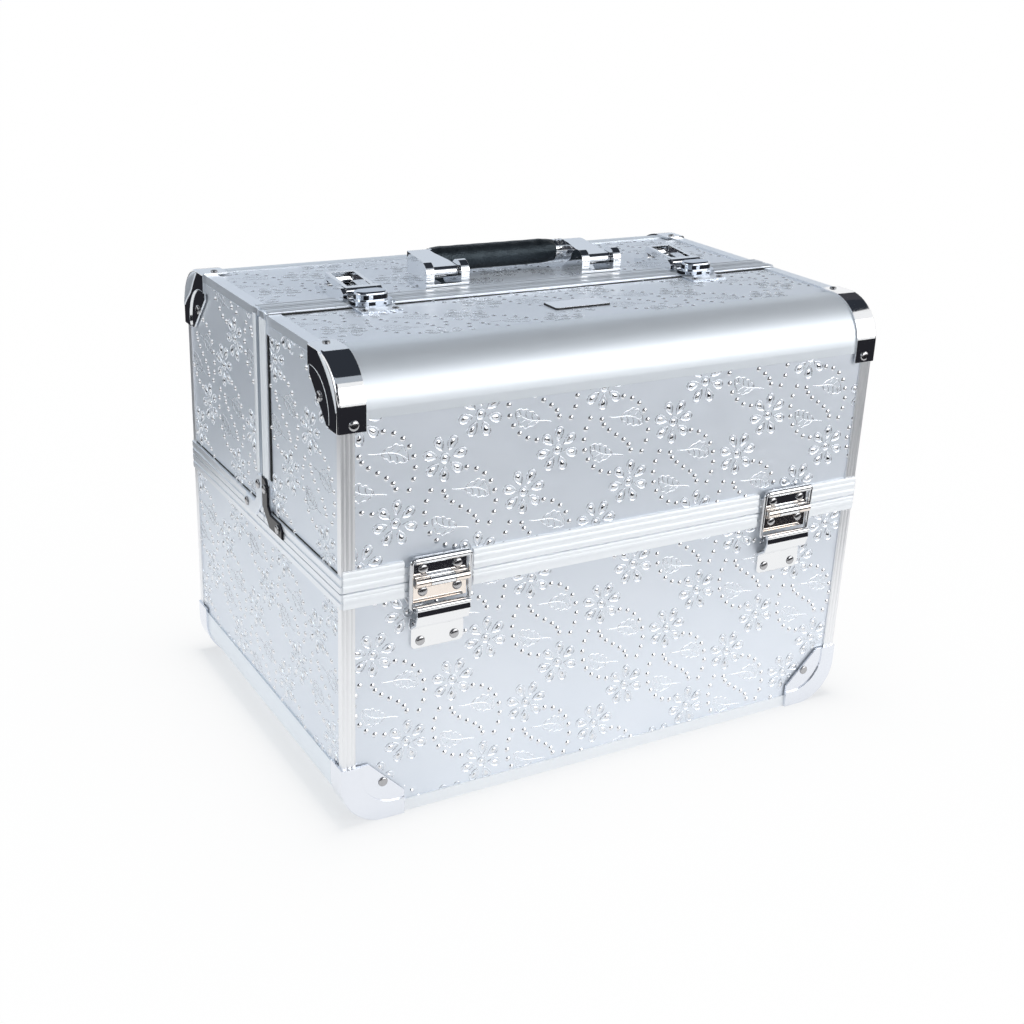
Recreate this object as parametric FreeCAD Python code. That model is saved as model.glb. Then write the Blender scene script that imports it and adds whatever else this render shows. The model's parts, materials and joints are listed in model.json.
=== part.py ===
import FreeCAD, Part
import math
import os

V = FreeCAD.Vector

# Makeup train case, millimetres. +X is the case's right, -Y its front and +Z up.
# The origin is the middle of the footprint, on the surface that the case stands on.

# Body, closed
CASE_WIDTH = 360.0
CASE_DEPTH = 244.0
CASE_HEIGHT = 275.0
SEAM_HEIGHT = 147.0
SEAM_GAP = 0.6
SPLIT_Y = -10.0
SPLIT_GAP = 1.0

# Walls: panels lie inside a frame of extrusions whose lips cover the panel edges
WALL = 5.0
LIP = 1.0
EDGE_RADIUS = 27.0
EDGE_LIP_TOP = 5.0
EDGE_LIP_SIDE = 8.0
POST_LIP = 3.0
TRIM_SIDE_LIP = 6.0
BOTTOM_LIP_FRONT = 2.6
BOTTOM_LIP_UNDER = 5.0
POST_GROOVE = 0.8
POST_GROOVE_DEPTH = 0.4
POST_GROOVE_PITCH = 2.6

# Rims along the seam and rails along the split
RIM_HEIGHT = 8.7
RIM_PROUD = 1.0
RIM_ROUND = 1.5
RAIL_WIDTH = 9.5
RIDGE_GROOVE = 1.6
RIDGE_GROOVE_DEPTH = 0.6

# Liner of the base
LINER_WALL = 1.2
LINER_CLEAR = 0.2
LINER_DROP = 6.0

# Corner caps and clips, which wrap the ends of the rounded rails
CORNER_SHEET = 1.2
CORNER_REACH = 38.0
CORNER_BAND = 14.0
CORNER_TAB = 15.5
CORNER_RIM = 0.8
CORNER_RIM_END = 11.0
CORNER_RIM_MID = 17.0
CORNER_EDGE_ROUND = 1.7
CORNER_RIVET = 24.5
CLIP_END_RIVET = 34.0

# Corner brackets at the lower ends of the split
BRACKET_SHEET = 1.2
BRACKET_HEIGHT = 29.0
BRACKET_LENGTH = 31.0
BRACKET_LEG = 9.0
BRACKET_CUT = 11.0
BRACKET_TIP = 4.0
BRACKET_BEVEL = 0.6

# Stop hinges
HINGE_X = 122.0
LEAF_WIDTH = 32.8
LEAF_SHEET = 1.2
LEAF_UPPER = 13.0
LEAF_LOWER = 13.0
LEAF_RELIEF = 2.6
KNUCKLE_RADIUS = 3.0
KNUCKLE_CLEAR = 0.4
KNUCKLE_MIDDLE = 15.0
HINGE_PIN_RADIUS = 1.4
RUNNING_CLEAR = 0.05
LEAF_RIVET_X = 10.7
LEAF_RIVET_Z = 6.6

# Wire bails of the hinges, and the pockets that they slide in
WIRE_RADIUS = 1.25
WIRE_BEND = 1.8
CURL_RADIUS = 2.3
CURL_BACK = 0.8
BAIL_DROP = 16.0
BAIL_BACK = 1.8
POCKET_SHEET = 1.2
POCKET_TOP = 15.0
POCKET_BEND = 19.3
POCKET_KNEE = 25.4
POCKET_FOOT = 29.8
POCKET_BOTTOM = 42.3
POCKET_TOP_OUT = 8.6
POCKET_BEND_OUT = 9.2
POCKET_KNEE_OUT = 7.2
POCKET_LIP_RADIUS = 1.5
POCKET_CORNER = 3.0
POCKET_RIVET_UP = 4.5

# Rivet heads
RIVET_RADIUS = 2.2
RIVET_EDGE = 0.4
RIVET_HEIGHT = 1.1

# Trays, and the arms that carry them; pivots are measured from the hinge axis, inward and upward
TRAY_SIDE_CLEAR = 5.5
TRAY_HEIGHT = 32.0
TRAY_WALL = 2.0
TRAY_FRONT = 14.0
TRAY_BACK_CLEAR = 5.5
TRAY_DIVIDERS = 2
TRAY_ROUND = 3.0
TRAY_PIVOT_UP = 14.0
LOWER_PIVOT = (34.0, 14.0)
UPPER_PIVOT = (70.0, 52.0)
ARM_PIVOT_UP = -6.0
FRONT_ARM_PIVOT_IN = 26.0
REAR_ARM_PIVOT_IN = 46.0
ARM_SHEET = 1.5
ARM_WIDTH = 12.0
ARM_SIDE_CLEAR = 2.2
TRAY_PIN_RADIUS = 2.0
TRAY_PIN_HEAD = 3.4
ARM_PIN_RADIUS = 2.5
ARM_PIN_HEAD = 4.4
PIN_HEAD_SHEET = 1.0
PIN_SIDE_CLEAR = 0.4

# Handle on the rear half
HANDLE_X = 55.5
CLEVIS_WIDTH = 29.4
CLEVIS_CHEEK = 5.5
CLEVIS_FRONT = 11.0
CLEVIS_LENGTH = 24.0
CLEVIS_HEIGHT = 10.2
CLEVIS_ROUND = 6.8
CLEVIS_TOE = 2.6
CLEVIS_FLOOR = 2.0
CLEVIS_SILL = 4.1
CLEVIS_SILL_SHEET = 2.5
HANDLE_PIN_RADIUS = 1.7
HANDLE_PIN_BACK = 6.8
ARM_SIDE_GAP = 0.4
HANDLE_BOSS = 3.4
HANDLE_REACH = 32.5
HANDLE_END_RADIUS = 6.6
ARM_TAPER = 2.5
ARM_TAPER_START = 10.0
ARM_CORNER = 9.0
COLLAR_LENGTH = 8.0
COLLAR_RADIUS = 7.0
COLLAR_GROOVE = 1.2
COLLAR_GROOVE_DEPTH = 0.6
COLLAR_RINGS = 3
GRIP_END_RADIUS = 6.9
GRIP_MID_RADIUS = 8.2
GRIP_SHOULDER = 6.0
GRIP_SHOULDER_RADIUS = 7.8
PEG_RADIUS = 3.5
PEG_LENGTH = 16.0

# Latches across the split
LATCH_X = 116.0
LATCH_WIDTH = 26.0
LATCH_BASE_LENGTH = 33.0
LATCH_SHEET = 1.4
LATCH_EAR = 2.8
LATCH_EAR_HEIGHT = 6.4
LATCH_EAR_TAIL = 2.0
LATCH_PIVOT_BACK = 5.0
LATCH_PIVOT_UP = 4.0
LATCH_PIN_RADIUS = 1.5
LEVER_SIDE_GAP = 0.4
LEVER_BOSS = 2.6
LEVER_LENGTH = 30.0
LEVER_RISE = 3.5
LEVER_TIP = 2.0
LEVER_ROLL = 2.4
LEVER_LIP = 1.6
LEVER_LIP_DROP = 4.7
LEVER_RAIL = 2.4
LEVER_WEB = 1.2
LEVER_WINDOW = (12.0, 23.0)
STRIKE_LENGTH = 15.0
STRIKE_SHEET = 1.2
KEEPER_LENGTH = 15.2
KEEPER_BACK = 0.5
KEEPER_HEIGHT = 2.6
DOME_WIDTH = 20.5
DOME_LENGTH = 11.6
DOME_HEIGHT = 5.0
DOME_ROUND = 1.6
SEAT_GAP = 0.2

# Badge plate on the front half, bare
BADGE_WIDTH = 37.5
BADGE_LENGTH = 15.0
BADGE_SHEET = 1.2
BADGE_Y = -58.5
BADGE_ROUND = 1.5

# Worked out from the sizes above
HALF_W = CASE_WIDTH / 2
HALF_D = CASE_DEPTH / 2
INNER_W = HALF_W - WALL
INNER_D = HALF_D - WALL
PANEL_W = HALF_W - LIP
PANEL_D = HALF_D - LIP
INNER_RADIUS = EDGE_RADIUS - WALL
TRAY_HALF_LENGTH = INNER_W - TRAY_SIDE_CLEAR
BASE_TOP = SEAM_HEIGHT - SEAM_GAP / 2
BASE_PANEL_TOP = BASE_TOP - RIM_HEIGHT
LINER_TOP = BASE_PANEL_TOP - LINER_DROP
LID_BOTTOM = SEAM_HEIGHT + SEAM_GAP / 2
LID_PANEL_BOTTOM = LID_BOTTOM + RIM_HEIGHT
LID_STRAIGHT_TOP = CASE_HEIGHT - EDGE_RADIUS
LID_INNER_TOP = CASE_HEIGHT - WALL
LID_PANEL_TOP = CASE_HEIGHT - LIP
RAIL_TOP = CASE_HEIGHT + RIM_PROUD
RIM_FACE = HALF_D + RIM_PROUD
AXIS_Y = -(RIM_FACE + KNUCKLE_CLEAR + KNUCKLE_RADIUS)
ROUND_Y = -HALF_D + EDGE_RADIUS
FRONT_REACH = HALF_D + SPLIT_Y - SPLIT_GAP / 2
REAR_REACH = HALF_D - SPLIT_Y - SPLIT_GAP / 2
X_AXIS = V(1, 0, 0)
Y_AXIS = V(0, 1, 0)
Z_AXIS = V(0, 0, 1)
ORIGIN = V(0, 0, 0)


def box(x, y, z):
    """A block between the two values of each axis."""
    size = [abs(pair[1] - pair[0]) for pair in (x, y, z)]
    return Part.makeBox(*size, V(min(x), min(y), min(z)))


def rod(radius, start, end):
    """A round bar between two points."""
    return Part.makeCylinder(radius, (end - start).Length, start, end - start)


def cross_rod(radius, x0, x1, y, z):
    """A round bar along X."""
    return rod(radius, V(min(x0, x1), y, z), V(max(x0, x1), y, z))


def outline(start, *steps):
    """A closed face. A step is the next corner, or a pair: a point on an arc and the arc's end."""
    edges = []
    here = start
    for step in steps + (start,):
        if isinstance(step, tuple):
            edges.append(Part.Arc(here, step[0], step[1]).toShape())
            here = step[1]
        elif (step - here).Length > 1e-6:
            edges.append(Part.LineSegment(here, step).toShape())
            here = step
    return Part.Face(Part.Wire(edges))


def on_arc(centre, radius, across, up):
    """The middle of a quarter arc, towards the signs of the two offsets, which are vectors."""
    return centre + (across + up) * (radius * math.sqrt(0.5))


def mirror_x(shape):
    return shape.mirror(ORIGIN, X_AXIS)


def mirror_y(shape):
    return shape.mirror(ORIGIN, Y_AXIS)


def left_and_right(shape):
    return [shape, mirror_x(shape)]


def corners(shape):
    return left_and_right(shape) + left_and_right(mirror_y(shape))


def fuse(first, *others):
    return first.multiFuse(list(others)).removeSplitter()


def move(shape, x=0.0, y=0.0, z=0.0):
    copy = shape.copy()
    copy.translate(V(x, y, z))
    return copy


def rounded_upright_edges(shape, radius):
    upright = [e for e in shape.Edges if e.BoundBox.ZLength > e.BoundBox.XLength + e.BoundBox.YLength]
    return shape.makeFillet(radius, upright)


def rivet(point, normal):
    """A low domed head on a face: a slice of a ball on a short cylinder."""
    rise = RIVET_HEIGHT - RIVET_EDGE
    ball = (RIVET_RADIUS ** 2 + rise ** 2) / (2 * rise)
    half_turn = math.asin(RIVET_RADIUS / ball) / 2
    shoulder = V(ball * math.sin(half_turn), 0, RIVET_HEIGHT - ball + ball * math.cos(half_turn))
    profile = outline(ORIGIN, V(RIVET_RADIUS, 0, 0), V(RIVET_RADIUS, 0, RIVET_EDGE),
                      (shoulder, V(0, 0, RIVET_HEIGHT)))
    head = profile.revolve(ORIGIN, Z_AXIS, 360)
    head.Placement = FreeCAD.Placement(point, FreeCAD.Rotation(Z_AXIS, normal))
    return head


def export(node, shapes):
    solids = shapes if isinstance(shapes, list) else [shapes]
    whole = solids[0] if len(solids) == 1 else Part.makeCompound(solids)
    whole.exportStep(os.path.join("parts", node + ".step"))


# Base


def base_end_panel():
    """Front panel of the base, with its lower corners inside the rounded side rails."""
    y = -PANEL_D
    foot = HALF_W - EDGE_RADIUS
    right = on_arc(V(foot, y, EDGE_RADIUS), INNER_RADIUS, X_AXIS, -Z_AXIS)
    left = on_arc(V(-foot, y, EDGE_RADIUS), INNER_RADIUS, -X_AXIS, -Z_AXIS)
    face = outline(V(-foot, y, WALL), V(foot, y, WALL), (right, V(INNER_W, y, EDGE_RADIUS)),
                   V(INNER_W, y, BASE_PANEL_TOP), V(-INNER_W, y, BASE_PANEL_TOP),
                   V(-INNER_W, y, EDGE_RADIUS), (left, V(-foot, y, WALL)))
    return face.extrude(V(0, WALL - LIP, 0))


def base_side_panel():
    return box((INNER_W, PANEL_W), (-INNER_D, INNER_D), (EDGE_RADIUS, BASE_PANEL_TOP))


def base_floor():
    foot = HALF_W - EDGE_RADIUS
    return box((-foot, foot), (-INNER_D, INNER_D), (LIP, WALL))


def base_rounded_rail():
    """Quarter-round rail along the foot of the right side, with a lip on the side panel and on the floor."""
    foot = HALF_W - EDGE_RADIUS
    centre = V(foot, -HALF_D, EDGE_RADIUS)
    face = outline(V(HALF_W, -HALF_D, EDGE_RADIUS),
                   (on_arc(centre, EDGE_RADIUS, X_AXIS, -Z_AXIS), V(foot, -HALF_D, 0)),
                   V(foot, -HALF_D, WALL),
                   (on_arc(centre, INNER_RADIUS, X_AXIS, -Z_AXIS), V(INNER_W, -HALF_D, EDGE_RADIUS)))
    curve = face.extrude(V(0, CASE_DEPTH, 0))
    side_lip = box((PANEL_W, HALF_W), (-INNER_D, INNER_D), (EDGE_RADIUS, EDGE_RADIUS + EDGE_LIP_SIDE))
    lip_end = INNER_D - BOTTOM_LIP_UNDER
    floor_lip = box((foot - BOTTOM_LIP_UNDER, foot), (-lip_end, lip_end), (0, LIP))
    return fuse(curve, side_lip, floor_lip)


def base_bottom_rail():
    """Front bottom rail, with a lip up the front panel and a lip under the floor."""
    foot = HALF_W - EDGE_RADIUS
    core = box((-foot, foot), (-HALF_D, -INNER_D), (0, WALL))
    front_lip = box((-foot, foot), (-HALF_D, -PANEL_D), (WALL, WALL + BOTTOM_LIP_FRONT))
    under_lip = box((-foot, foot), (-INNER_D, -INNER_D + BOTTOM_LIP_UNDER), (0, LIP))
    return fuse(core, front_lip, under_lip)


def post(bottom, top):
    """Front right corner post, with grooves down its front face."""
    core = box((INNER_W, HALF_W), (-HALF_D, -INNER_D), (bottom, top))
    lip = box((INNER_W - POST_LIP, INNER_W), (-HALF_D, -PANEL_D), (bottom, top))
    grooves = []
    for step in (1, 2):
        x = HALF_W - step * POST_GROOVE_PITCH
        grooves.append(box((x - POST_GROOVE, x), (-HALF_D, -HALF_D + POST_GROOVE_DEPTH), (bottom, top)))
    return fuse(core, lip).cut(grooves)


def rim_groove(z, back):
    """Cutter for the groove round a rim, whose rear ends are at back."""
    out_w = HALF_W + RIM_PROUD
    half = RIDGE_GROOVE / 2
    outer = box((-out_w, out_w), (-RIM_FACE, back), (z - half, z + half))
    depth = RIDGE_GROOVE_DEPTH
    rear = back if back < RIM_FACE else back - depth
    return outer.cut(box((-out_w + depth, out_w - depth), (-RIM_FACE + depth, rear), (z - half, z + half)))


def base_rim():
    out_w = HALF_W + RIM_PROUD
    span = (BASE_PANEL_TOP, BASE_TOP)
    ring = rounded_upright_edges(box((-out_w, out_w), (-RIM_FACE, RIM_FACE), span), RIM_ROUND)
    ring = ring.cut(box((-INNER_W, INNER_W), (-INNER_D, INNER_D), span))
    return ring.cut(rim_groove((BASE_PANEL_TOP + BASE_TOP) / 2, RIM_FACE))


def liner_block(inset, bottom):
    """The room inside the base, drawn in by inset, with its lower corners rounded."""
    half_w = INNER_W - inset
    half_d = INNER_D - inset
    radius = INNER_RADIUS - inset
    foot = HALF_W - EDGE_RADIUS
    right = on_arc(V(foot, -half_d, EDGE_RADIUS), radius, X_AXIS, -Z_AXIS)
    left = on_arc(V(-foot, -half_d, EDGE_RADIUS), radius, -X_AXIS, -Z_AXIS)
    face = outline(V(-foot, -half_d, bottom), V(foot, -half_d, bottom),
                   (right, V(half_w, -half_d, EDGE_RADIUS)),
                   V(half_w, -half_d, LINER_TOP), V(-half_w, -half_d, LINER_TOP),
                   V(-half_w, -half_d, EDGE_RADIUS), (left, V(-foot, -half_d, bottom)))
    return face.extrude(V(0, 2 * half_d, 0))


def base_liner():
    inner = LINER_CLEAR + LINER_WALL
    return liner_block(LINER_CLEAR, WALL + LINER_CLEAR).cut(liner_block(inner, WALL + inner))


def arm_pivot(pivot_in):
    """Shouldered pin on the right wall of the base rim, on which a front tray arm turns."""
    y = AXIS_Y + pivot_in
    z = SEAM_HEIGHT + ARM_PIVOT_UP
    outer = INNER_W - ARM_SIDE_CLEAR + PIN_SIDE_CLEAR
    inner = INNER_W - ARM_SIDE_CLEAR - ARM_SHEET - PIN_SIDE_CLEAR
    shoulder = cross_rod(ARM_PIN_HEAD, outer, INNER_W, y, z)
    shank = cross_rod(ARM_PIN_RADIUS, inner, outer, y, z)
    head = cross_rod(ARM_PIN_HEAD, inner - PIN_HEAD_SHEET, inner, y, z)
    return fuse(shoulder, shank, head)


# Corner caps and clips


def corner_shell():
    """A corner fitting in its own frame: X and Y run inward from two faces, Z out of the end face."""
    t = CORNER_SHEET
    reach = CORNER_REACH
    middle = V(EDGE_RADIUS, EDGE_RADIUS, 0)
    outer_mid = on_arc(middle, EDGE_RADIUS + t, -X_AXIS, -Y_AXIS)
    inner_mid = on_arc(middle, EDGE_RADIUS, -X_AXIS, -Y_AXIS)
    band = outline(V(reach, -t, 0), V(EDGE_RADIUS, -t, 0), (outer_mid, V(-t, EDGE_RADIUS, 0)),
                   V(-t, reach, 0), V(0, reach, 0), V(0, EDGE_RADIUS, 0),
                   (inner_mid, V(EDGE_RADIUS, 0, 0)), V(reach, 0, 0))
    web = outline(V(reach, -t, 0), V(EDGE_RADIUS, -t, 0), (outer_mid, V(-t, EDGE_RADIUS, 0)),
                  V(-t, reach, 0), V(CORNER_TAB, reach, 0), V(reach, CORNER_TAB, 0))
    rim = outline(V(reach, -t, 0), V(EDGE_RADIUS, -t, 0), (outer_mid, V(-t, EDGE_RADIUS, 0)),
                  V(-t, reach, 0), V(CORNER_RIM_END, reach, 0),
                  (V(CORNER_RIM_MID, CORNER_RIM_MID, 0), V(reach, CORNER_RIM_END, 0)))
    band_solid = band.extrude(V(0, 0, -CORNER_BAND))
    shell = fuse(band_solid, web.extrude(V(0, 0, t)), rim.extrude(V(0, 0, t + CORNER_RIM)))
    return shell.makeFillet(CORNER_EDGE_ROUND, [e for e in shell.Edges if on_outer_edge(e.BoundBox)])


def on_outer_edge(bounds):
    """Whether an edge of a corner fitting runs along the outside of its end face."""
    on_end_face = bounds.ZMin > CORNER_SHEET + CORNER_RIM / 2
    outside = min(bounds.XMin, bounds.YMin) < 0
    across_end = max(bounds.XMin, bounds.YMin) > CORNER_REACH - CORNER_SHEET
    return on_end_face and outside and not across_end


def frame_placement(origin, across, up, out):
    """Placement that turns a fitting's own X, Y and Z to three directions of the case."""
    matrix = FreeCAD.Matrix(across.x, up.x, out.x, origin.x, across.y, up.y, out.y, origin.y,
                            across.z, up.z, out.z, origin.z, 0, 0, 0, 1)
    return FreeCAD.Placement(matrix)


def base_cap():
    """Front left corner cap, cut flush with the rails that the case stands on."""
    cap = corner_shell()
    cap.Placement = frame_placement(V(-HALF_W, -HALF_D, 0), X_AXIS, Z_AXIS, -Y_AXIS)
    half = HALF_W + CORNER_SHEET
    return cap.common(box((-half, half), (-CASE_DEPTH, CASE_DEPTH), (0, CASE_HEIGHT)))


def lid_clip():
    """Front left clip on the rounded top rail."""
    clip = corner_shell()
    clip.Placement = frame_placement(V(-HALF_W, -HALF_D, CASE_HEIGHT), Y_AXIS, -Z_AXIS, -X_AXIS)
    return clip


def cap_rivets():
    return [rivet(V(-HALF_W + CORNER_RIVET, -HALF_D - CORNER_SHEET, CORNER_RIVET), -Y_AXIS)]


def clip_rivets():
    """Rivets of the front left clip: on its end face, on top and at the foot of its front."""
    x_mid = -HALF_W + CORNER_BAND / 2
    return [rivet(V(-HALF_W - CORNER_SHEET, -HALF_D + CORNER_RIVET, CASE_HEIGHT - CORNER_RIVET), -X_AXIS),
            rivet(V(x_mid, -HALF_D + CLIP_END_RIVET, CASE_HEIGHT + CORNER_SHEET), Z_AXIS),
            rivet(V(x_mid, -HALF_D - CORNER_SHEET, CASE_HEIGHT - CLIP_END_RIVET), -Y_AXIS)]


# Upper halves, drawn as the front half; the rear half is the same with more reach, mirrored


def lid_face_panel():
    return box((-INNER_W, INNER_W), (-PANEL_D, -INNER_D), (LID_PANEL_BOTTOM, LID_STRAIGHT_TOP))


def lid_top_panel(reach):
    back = -HALF_D + reach - RAIL_WIDTH
    return box((-INNER_W, INNER_W), (ROUND_Y, back), (LID_INNER_TOP, LID_PANEL_TOP))


def lid_side_panel(reach):
    back = -HALF_D + reach - RAIL_WIDTH
    x = INNER_W
    middle = on_arc(V(x, ROUND_Y, LID_STRAIGHT_TOP), INNER_RADIUS, -Y_AXIS, Z_AXIS)
    face = outline(V(x, -INNER_D, LID_PANEL_BOTTOM), V(x, -INNER_D, LID_STRAIGHT_TOP),
                   (middle, V(x, ROUND_Y, LID_INNER_TOP)), V(x, back, LID_INNER_TOP),
                   V(x, back, LID_PANEL_BOTTOM))
    return face.extrude(V(WALL - LIP, 0, 0))


def lid_rounded_rail():
    """Quarter-round rail along the front top edge, with a lip on the top and face panels."""
    centre = V(-HALF_W, ROUND_Y, LID_STRAIGHT_TOP)
    face = outline(V(-HALF_W, -HALF_D, LID_STRAIGHT_TOP),
                   (on_arc(centre, EDGE_RADIUS, -Y_AXIS, Z_AXIS), V(-HALF_W, ROUND_Y, CASE_HEIGHT)),
                   V(-HALF_W, ROUND_Y, LID_INNER_TOP),
                   (on_arc(centre, INNER_RADIUS, -Y_AXIS, Z_AXIS), V(-HALF_W, -INNER_D, LID_STRAIGHT_TOP)))
    curve = face.extrude(V(CASE_WIDTH, 0, 0))
    lip_w = INNER_W - POST_LIP
    face_lip = box((-lip_w, lip_w), (-HALF_D, -PANEL_D), (LID_STRAIGHT_TOP - EDGE_LIP_TOP, LID_STRAIGHT_TOP))
    top_lip = box((-lip_w, lip_w), (ROUND_Y, ROUND_Y + EDGE_LIP_TOP), (LID_PANEL_TOP, CASE_HEIGHT))
    return fuse(curve, face_lip, top_lip)


def lid_top_trim(reach):
    """Edge trim along the right side of the top."""
    span = (ROUND_Y, -HALF_D + reach - RAIL_WIDTH)
    core = box((INNER_W, HALF_W), span, (LID_INNER_TOP, CASE_HEIGHT))
    side_lip = box((PANEL_W, HALF_W), span, (LID_INNER_TOP - TRIM_SIDE_LIP, LID_INNER_TOP))
    top_lip = box((INNER_W - POST_LIP, INNER_W), span, (LID_PANEL_TOP, CASE_HEIGHT))
    return fuse(core, side_lip, top_lip)


def arch(depth, span):
    """The split rail's outer outline, drawn in by depth, over a span of Y."""
    half = HALF_W + RIM_PROUD - depth
    return box((-half, half), span, (LID_PANEL_BOTTOM, RAIL_TOP - depth))


def lid_split_rail(reach):
    """Arched rail along the split: up one side, over the top and down the other, with two grooves."""
    back = -HALF_D + reach
    span = (back - RAIL_WIDTH, back)
    rail = arch(0, span).cut(box((-INNER_W, INNER_W), span, (LID_PANEL_BOTTOM, LID_INNER_TOP)))
    for edge in (back - RAIL_WIDTH, back - RIDGE_GROOVE):
        groove = (edge, edge + RIDGE_GROOVE)
        rail = rail.cut(arch(0, groove).cut(arch(RIDGE_GROOVE_DEPTH, groove)))
    return rail


def lid_rim(reach):
    back = -HALF_D + reach
    out_w = HALF_W + RIM_PROUD
    span = (LID_BOTTOM, LID_PANEL_BOTTOM)
    block = box((-out_w, out_w), (-RIM_FACE, back), span)
    front_edges = [e for e in block.Edges if e.BoundBox.YMax < -INNER_D and e.BoundBox.ZLength > SEAM_GAP]
    rim = block.makeFillet(RIM_ROUND, front_edges)
    rim = rim.cut(box((-INNER_W, INNER_W), (-INNER_D, back), span))
    return rim.cut(rim_groove((LID_BOTTOM + LID_PANEL_BOTTOM) / 2, back))


def lid_bracket(reach):
    """Right corner bracket: a bevelled angle plate on the split rail and rim, its outer corner cut away."""
    x = HALF_W + RIM_PROUD
    y = -HALF_D + reach
    z = LID_BOTTOM
    inner_y = y - BRACKET_LEG
    inner_z = z + BRACKET_LEG
    face = outline(V(x, y, z + BRACKET_HEIGHT), V(x, y, z + BRACKET_CUT), V(x, y - BRACKET_CUT, z),
                   V(x, y - BRACKET_LENGTH, z), V(x, y - BRACKET_LENGTH, inner_z - BRACKET_TIP),
                   V(x, y - BRACKET_LENGTH + BRACKET_TIP, inner_z),
                   V(x, inner_y - BRACKET_TIP, inner_z), V(x, inner_y, inner_z + BRACKET_TIP),
                   V(x, inner_y, z + BRACKET_HEIGHT - BRACKET_TIP),
                   V(x, inner_y + BRACKET_TIP, z + BRACKET_HEIGHT))
    plate = face.extrude(V(BRACKET_SHEET, 0, 0))
    outer_edges = [e for e in plate.Edges if e.BoundBox.XMin > x + BRACKET_SHEET / 2]
    return plate.makeChamfer(BRACKET_BEVEL, outer_edges)


def bracket_rivets(reach):
    x = HALF_W + RIM_PROUD + BRACKET_SHEET
    y = -HALF_D + reach
    half = BRACKET_LEG / 2
    return [rivet(V(x, y - half, LID_BOTTOM + BRACKET_HEIGHT - half - BRACKET_TIP / 2), X_AXIS),
            rivet(V(x, y - BRACKET_LENGTH + half + BRACKET_TIP / 2, LID_BOTTOM + half), X_AXIS)]


# Stop hinges, drawn for the front and at X = 0


def knuckle(x0, x1, bore):
    barrel = cross_rod(KNUCKLE_RADIUS, x0, x1, AXIS_Y, SEAM_HEIGHT)
    return barrel.cut(cross_rod(bore, x0, x1, AXIS_Y, SEAM_HEIGHT))


def leaf_sheet(x, z):
    return box(x, (-RIM_FACE - LEAF_SHEET, -RIM_FACE), z)


def lower_leaf():
    """Leaf on the base rim, with a knuckle at each side."""
    half = LEAF_WIDTH / 2
    inner = KNUCKLE_MIDDLE / 2 + KNUCKLE_CLEAR
    leaf = leaf_sheet((-half, half), (SEAM_HEIGHT - LEAF_LOWER, SEAM_HEIGHT - LEAF_RELIEF))
    bore = cross_rod(HINGE_PIN_RADIUS, -half, half, AXIS_Y, SEAM_HEIGHT)
    for side in (-1, 1):
        ear = leaf_sheet((side * inner, side * half), (SEAM_HEIGHT - LEAF_RELIEF, SEAM_HEIGHT))
        leaf = fuse(leaf, ear, knuckle(side * inner, side * half, HINGE_PIN_RADIUS))
    return leaf.cut(bore)


def upper_leaf():
    """Leaf on the lid rim, with a middle knuckle below and a curl above for the wire bail."""
    half = LEAF_WIDTH / 2
    middle = KNUCKLE_MIDDLE / 2
    bore = HINGE_PIN_RADIUS + RUNNING_CLEAR
    curl_y = AXIS_Y + CURL_BACK
    curl_z = SEAM_HEIGHT + LEAF_UPPER
    leaf = leaf_sheet((-half, half), (SEAM_HEIGHT + LEAF_RELIEF, curl_z))
    ear = leaf_sheet((-middle, middle), (SEAM_HEIGHT, SEAM_HEIGHT + LEAF_RELIEF))
    curl = cross_rod(CURL_RADIUS, -half, half, curl_y, curl_z)
    leaf = fuse(leaf, ear, curl, knuckle(-middle, middle, bore))
    leaf = leaf.cut(cross_rod(bore, -middle, middle, AXIS_Y, SEAM_HEIGHT))
    return leaf.cut(cross_rod(WIRE_RADIUS + RUNNING_CLEAR, -half, half, curl_y, curl_z))


def hinge_pin():
    half = LEAF_WIDTH / 2
    return cross_rod(HINGE_PIN_RADIUS, -half, half, AXIS_Y, SEAM_HEIGHT)


def wire_bend(x, y, start):
    """A quarter bend of the bail's wire in its own plane, about a centre, from an angle in degrees."""
    section = Part.Face(Part.Wire(Part.makeCircle(WIRE_RADIUS, V(WIRE_BEND, 0, 0), Y_AXIS)))
    bend = section.revolve(ORIGIN, Z_AXIS, 90)
    bend.Placement = FreeCAD.Placement(V(x, y, 0), FreeCAD.Rotation(Z_AXIS, start))
    return bend


def bail():
    """Closed wire loop: its top bar turns in the curl and its lower bar lies in the pocket."""
    top = V(0, AXIS_Y + CURL_BACK, SEAM_HEIGHT + LEAF_UPPER)
    foot = V(0, AXIS_Y + BAIL_BACK, SEAM_HEIGHT - BAIL_DROP)
    length = (foot - top).Length
    flat = LEAF_WIDTH / 2
    side = flat + WIRE_BEND
    pieces = []
    for y in (0, -length):
        pieces.append(rod(WIRE_RADIUS, V(-flat, y, 0), V(flat, y, 0)))
    for x in (-side, side):
        pieces.append(rod(WIRE_RADIUS, V(x, -length + WIRE_BEND, 0), V(x, -WIRE_BEND, 0)))
    pieces.append(wire_bend(flat, -WIRE_BEND, 0))
    pieces.append(wire_bend(-flat, -WIRE_BEND, 90))
    pieces.append(wire_bend(-flat, -length + WIRE_BEND, 180))
    pieces.append(wire_bend(flat, -length + WIRE_BEND, 270))
    loop = fuse(*pieces)
    loop.Placement = FreeCAD.Placement(top, FreeCAD.Rotation(-Y_AXIS, foot - top))
    return loop


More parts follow.
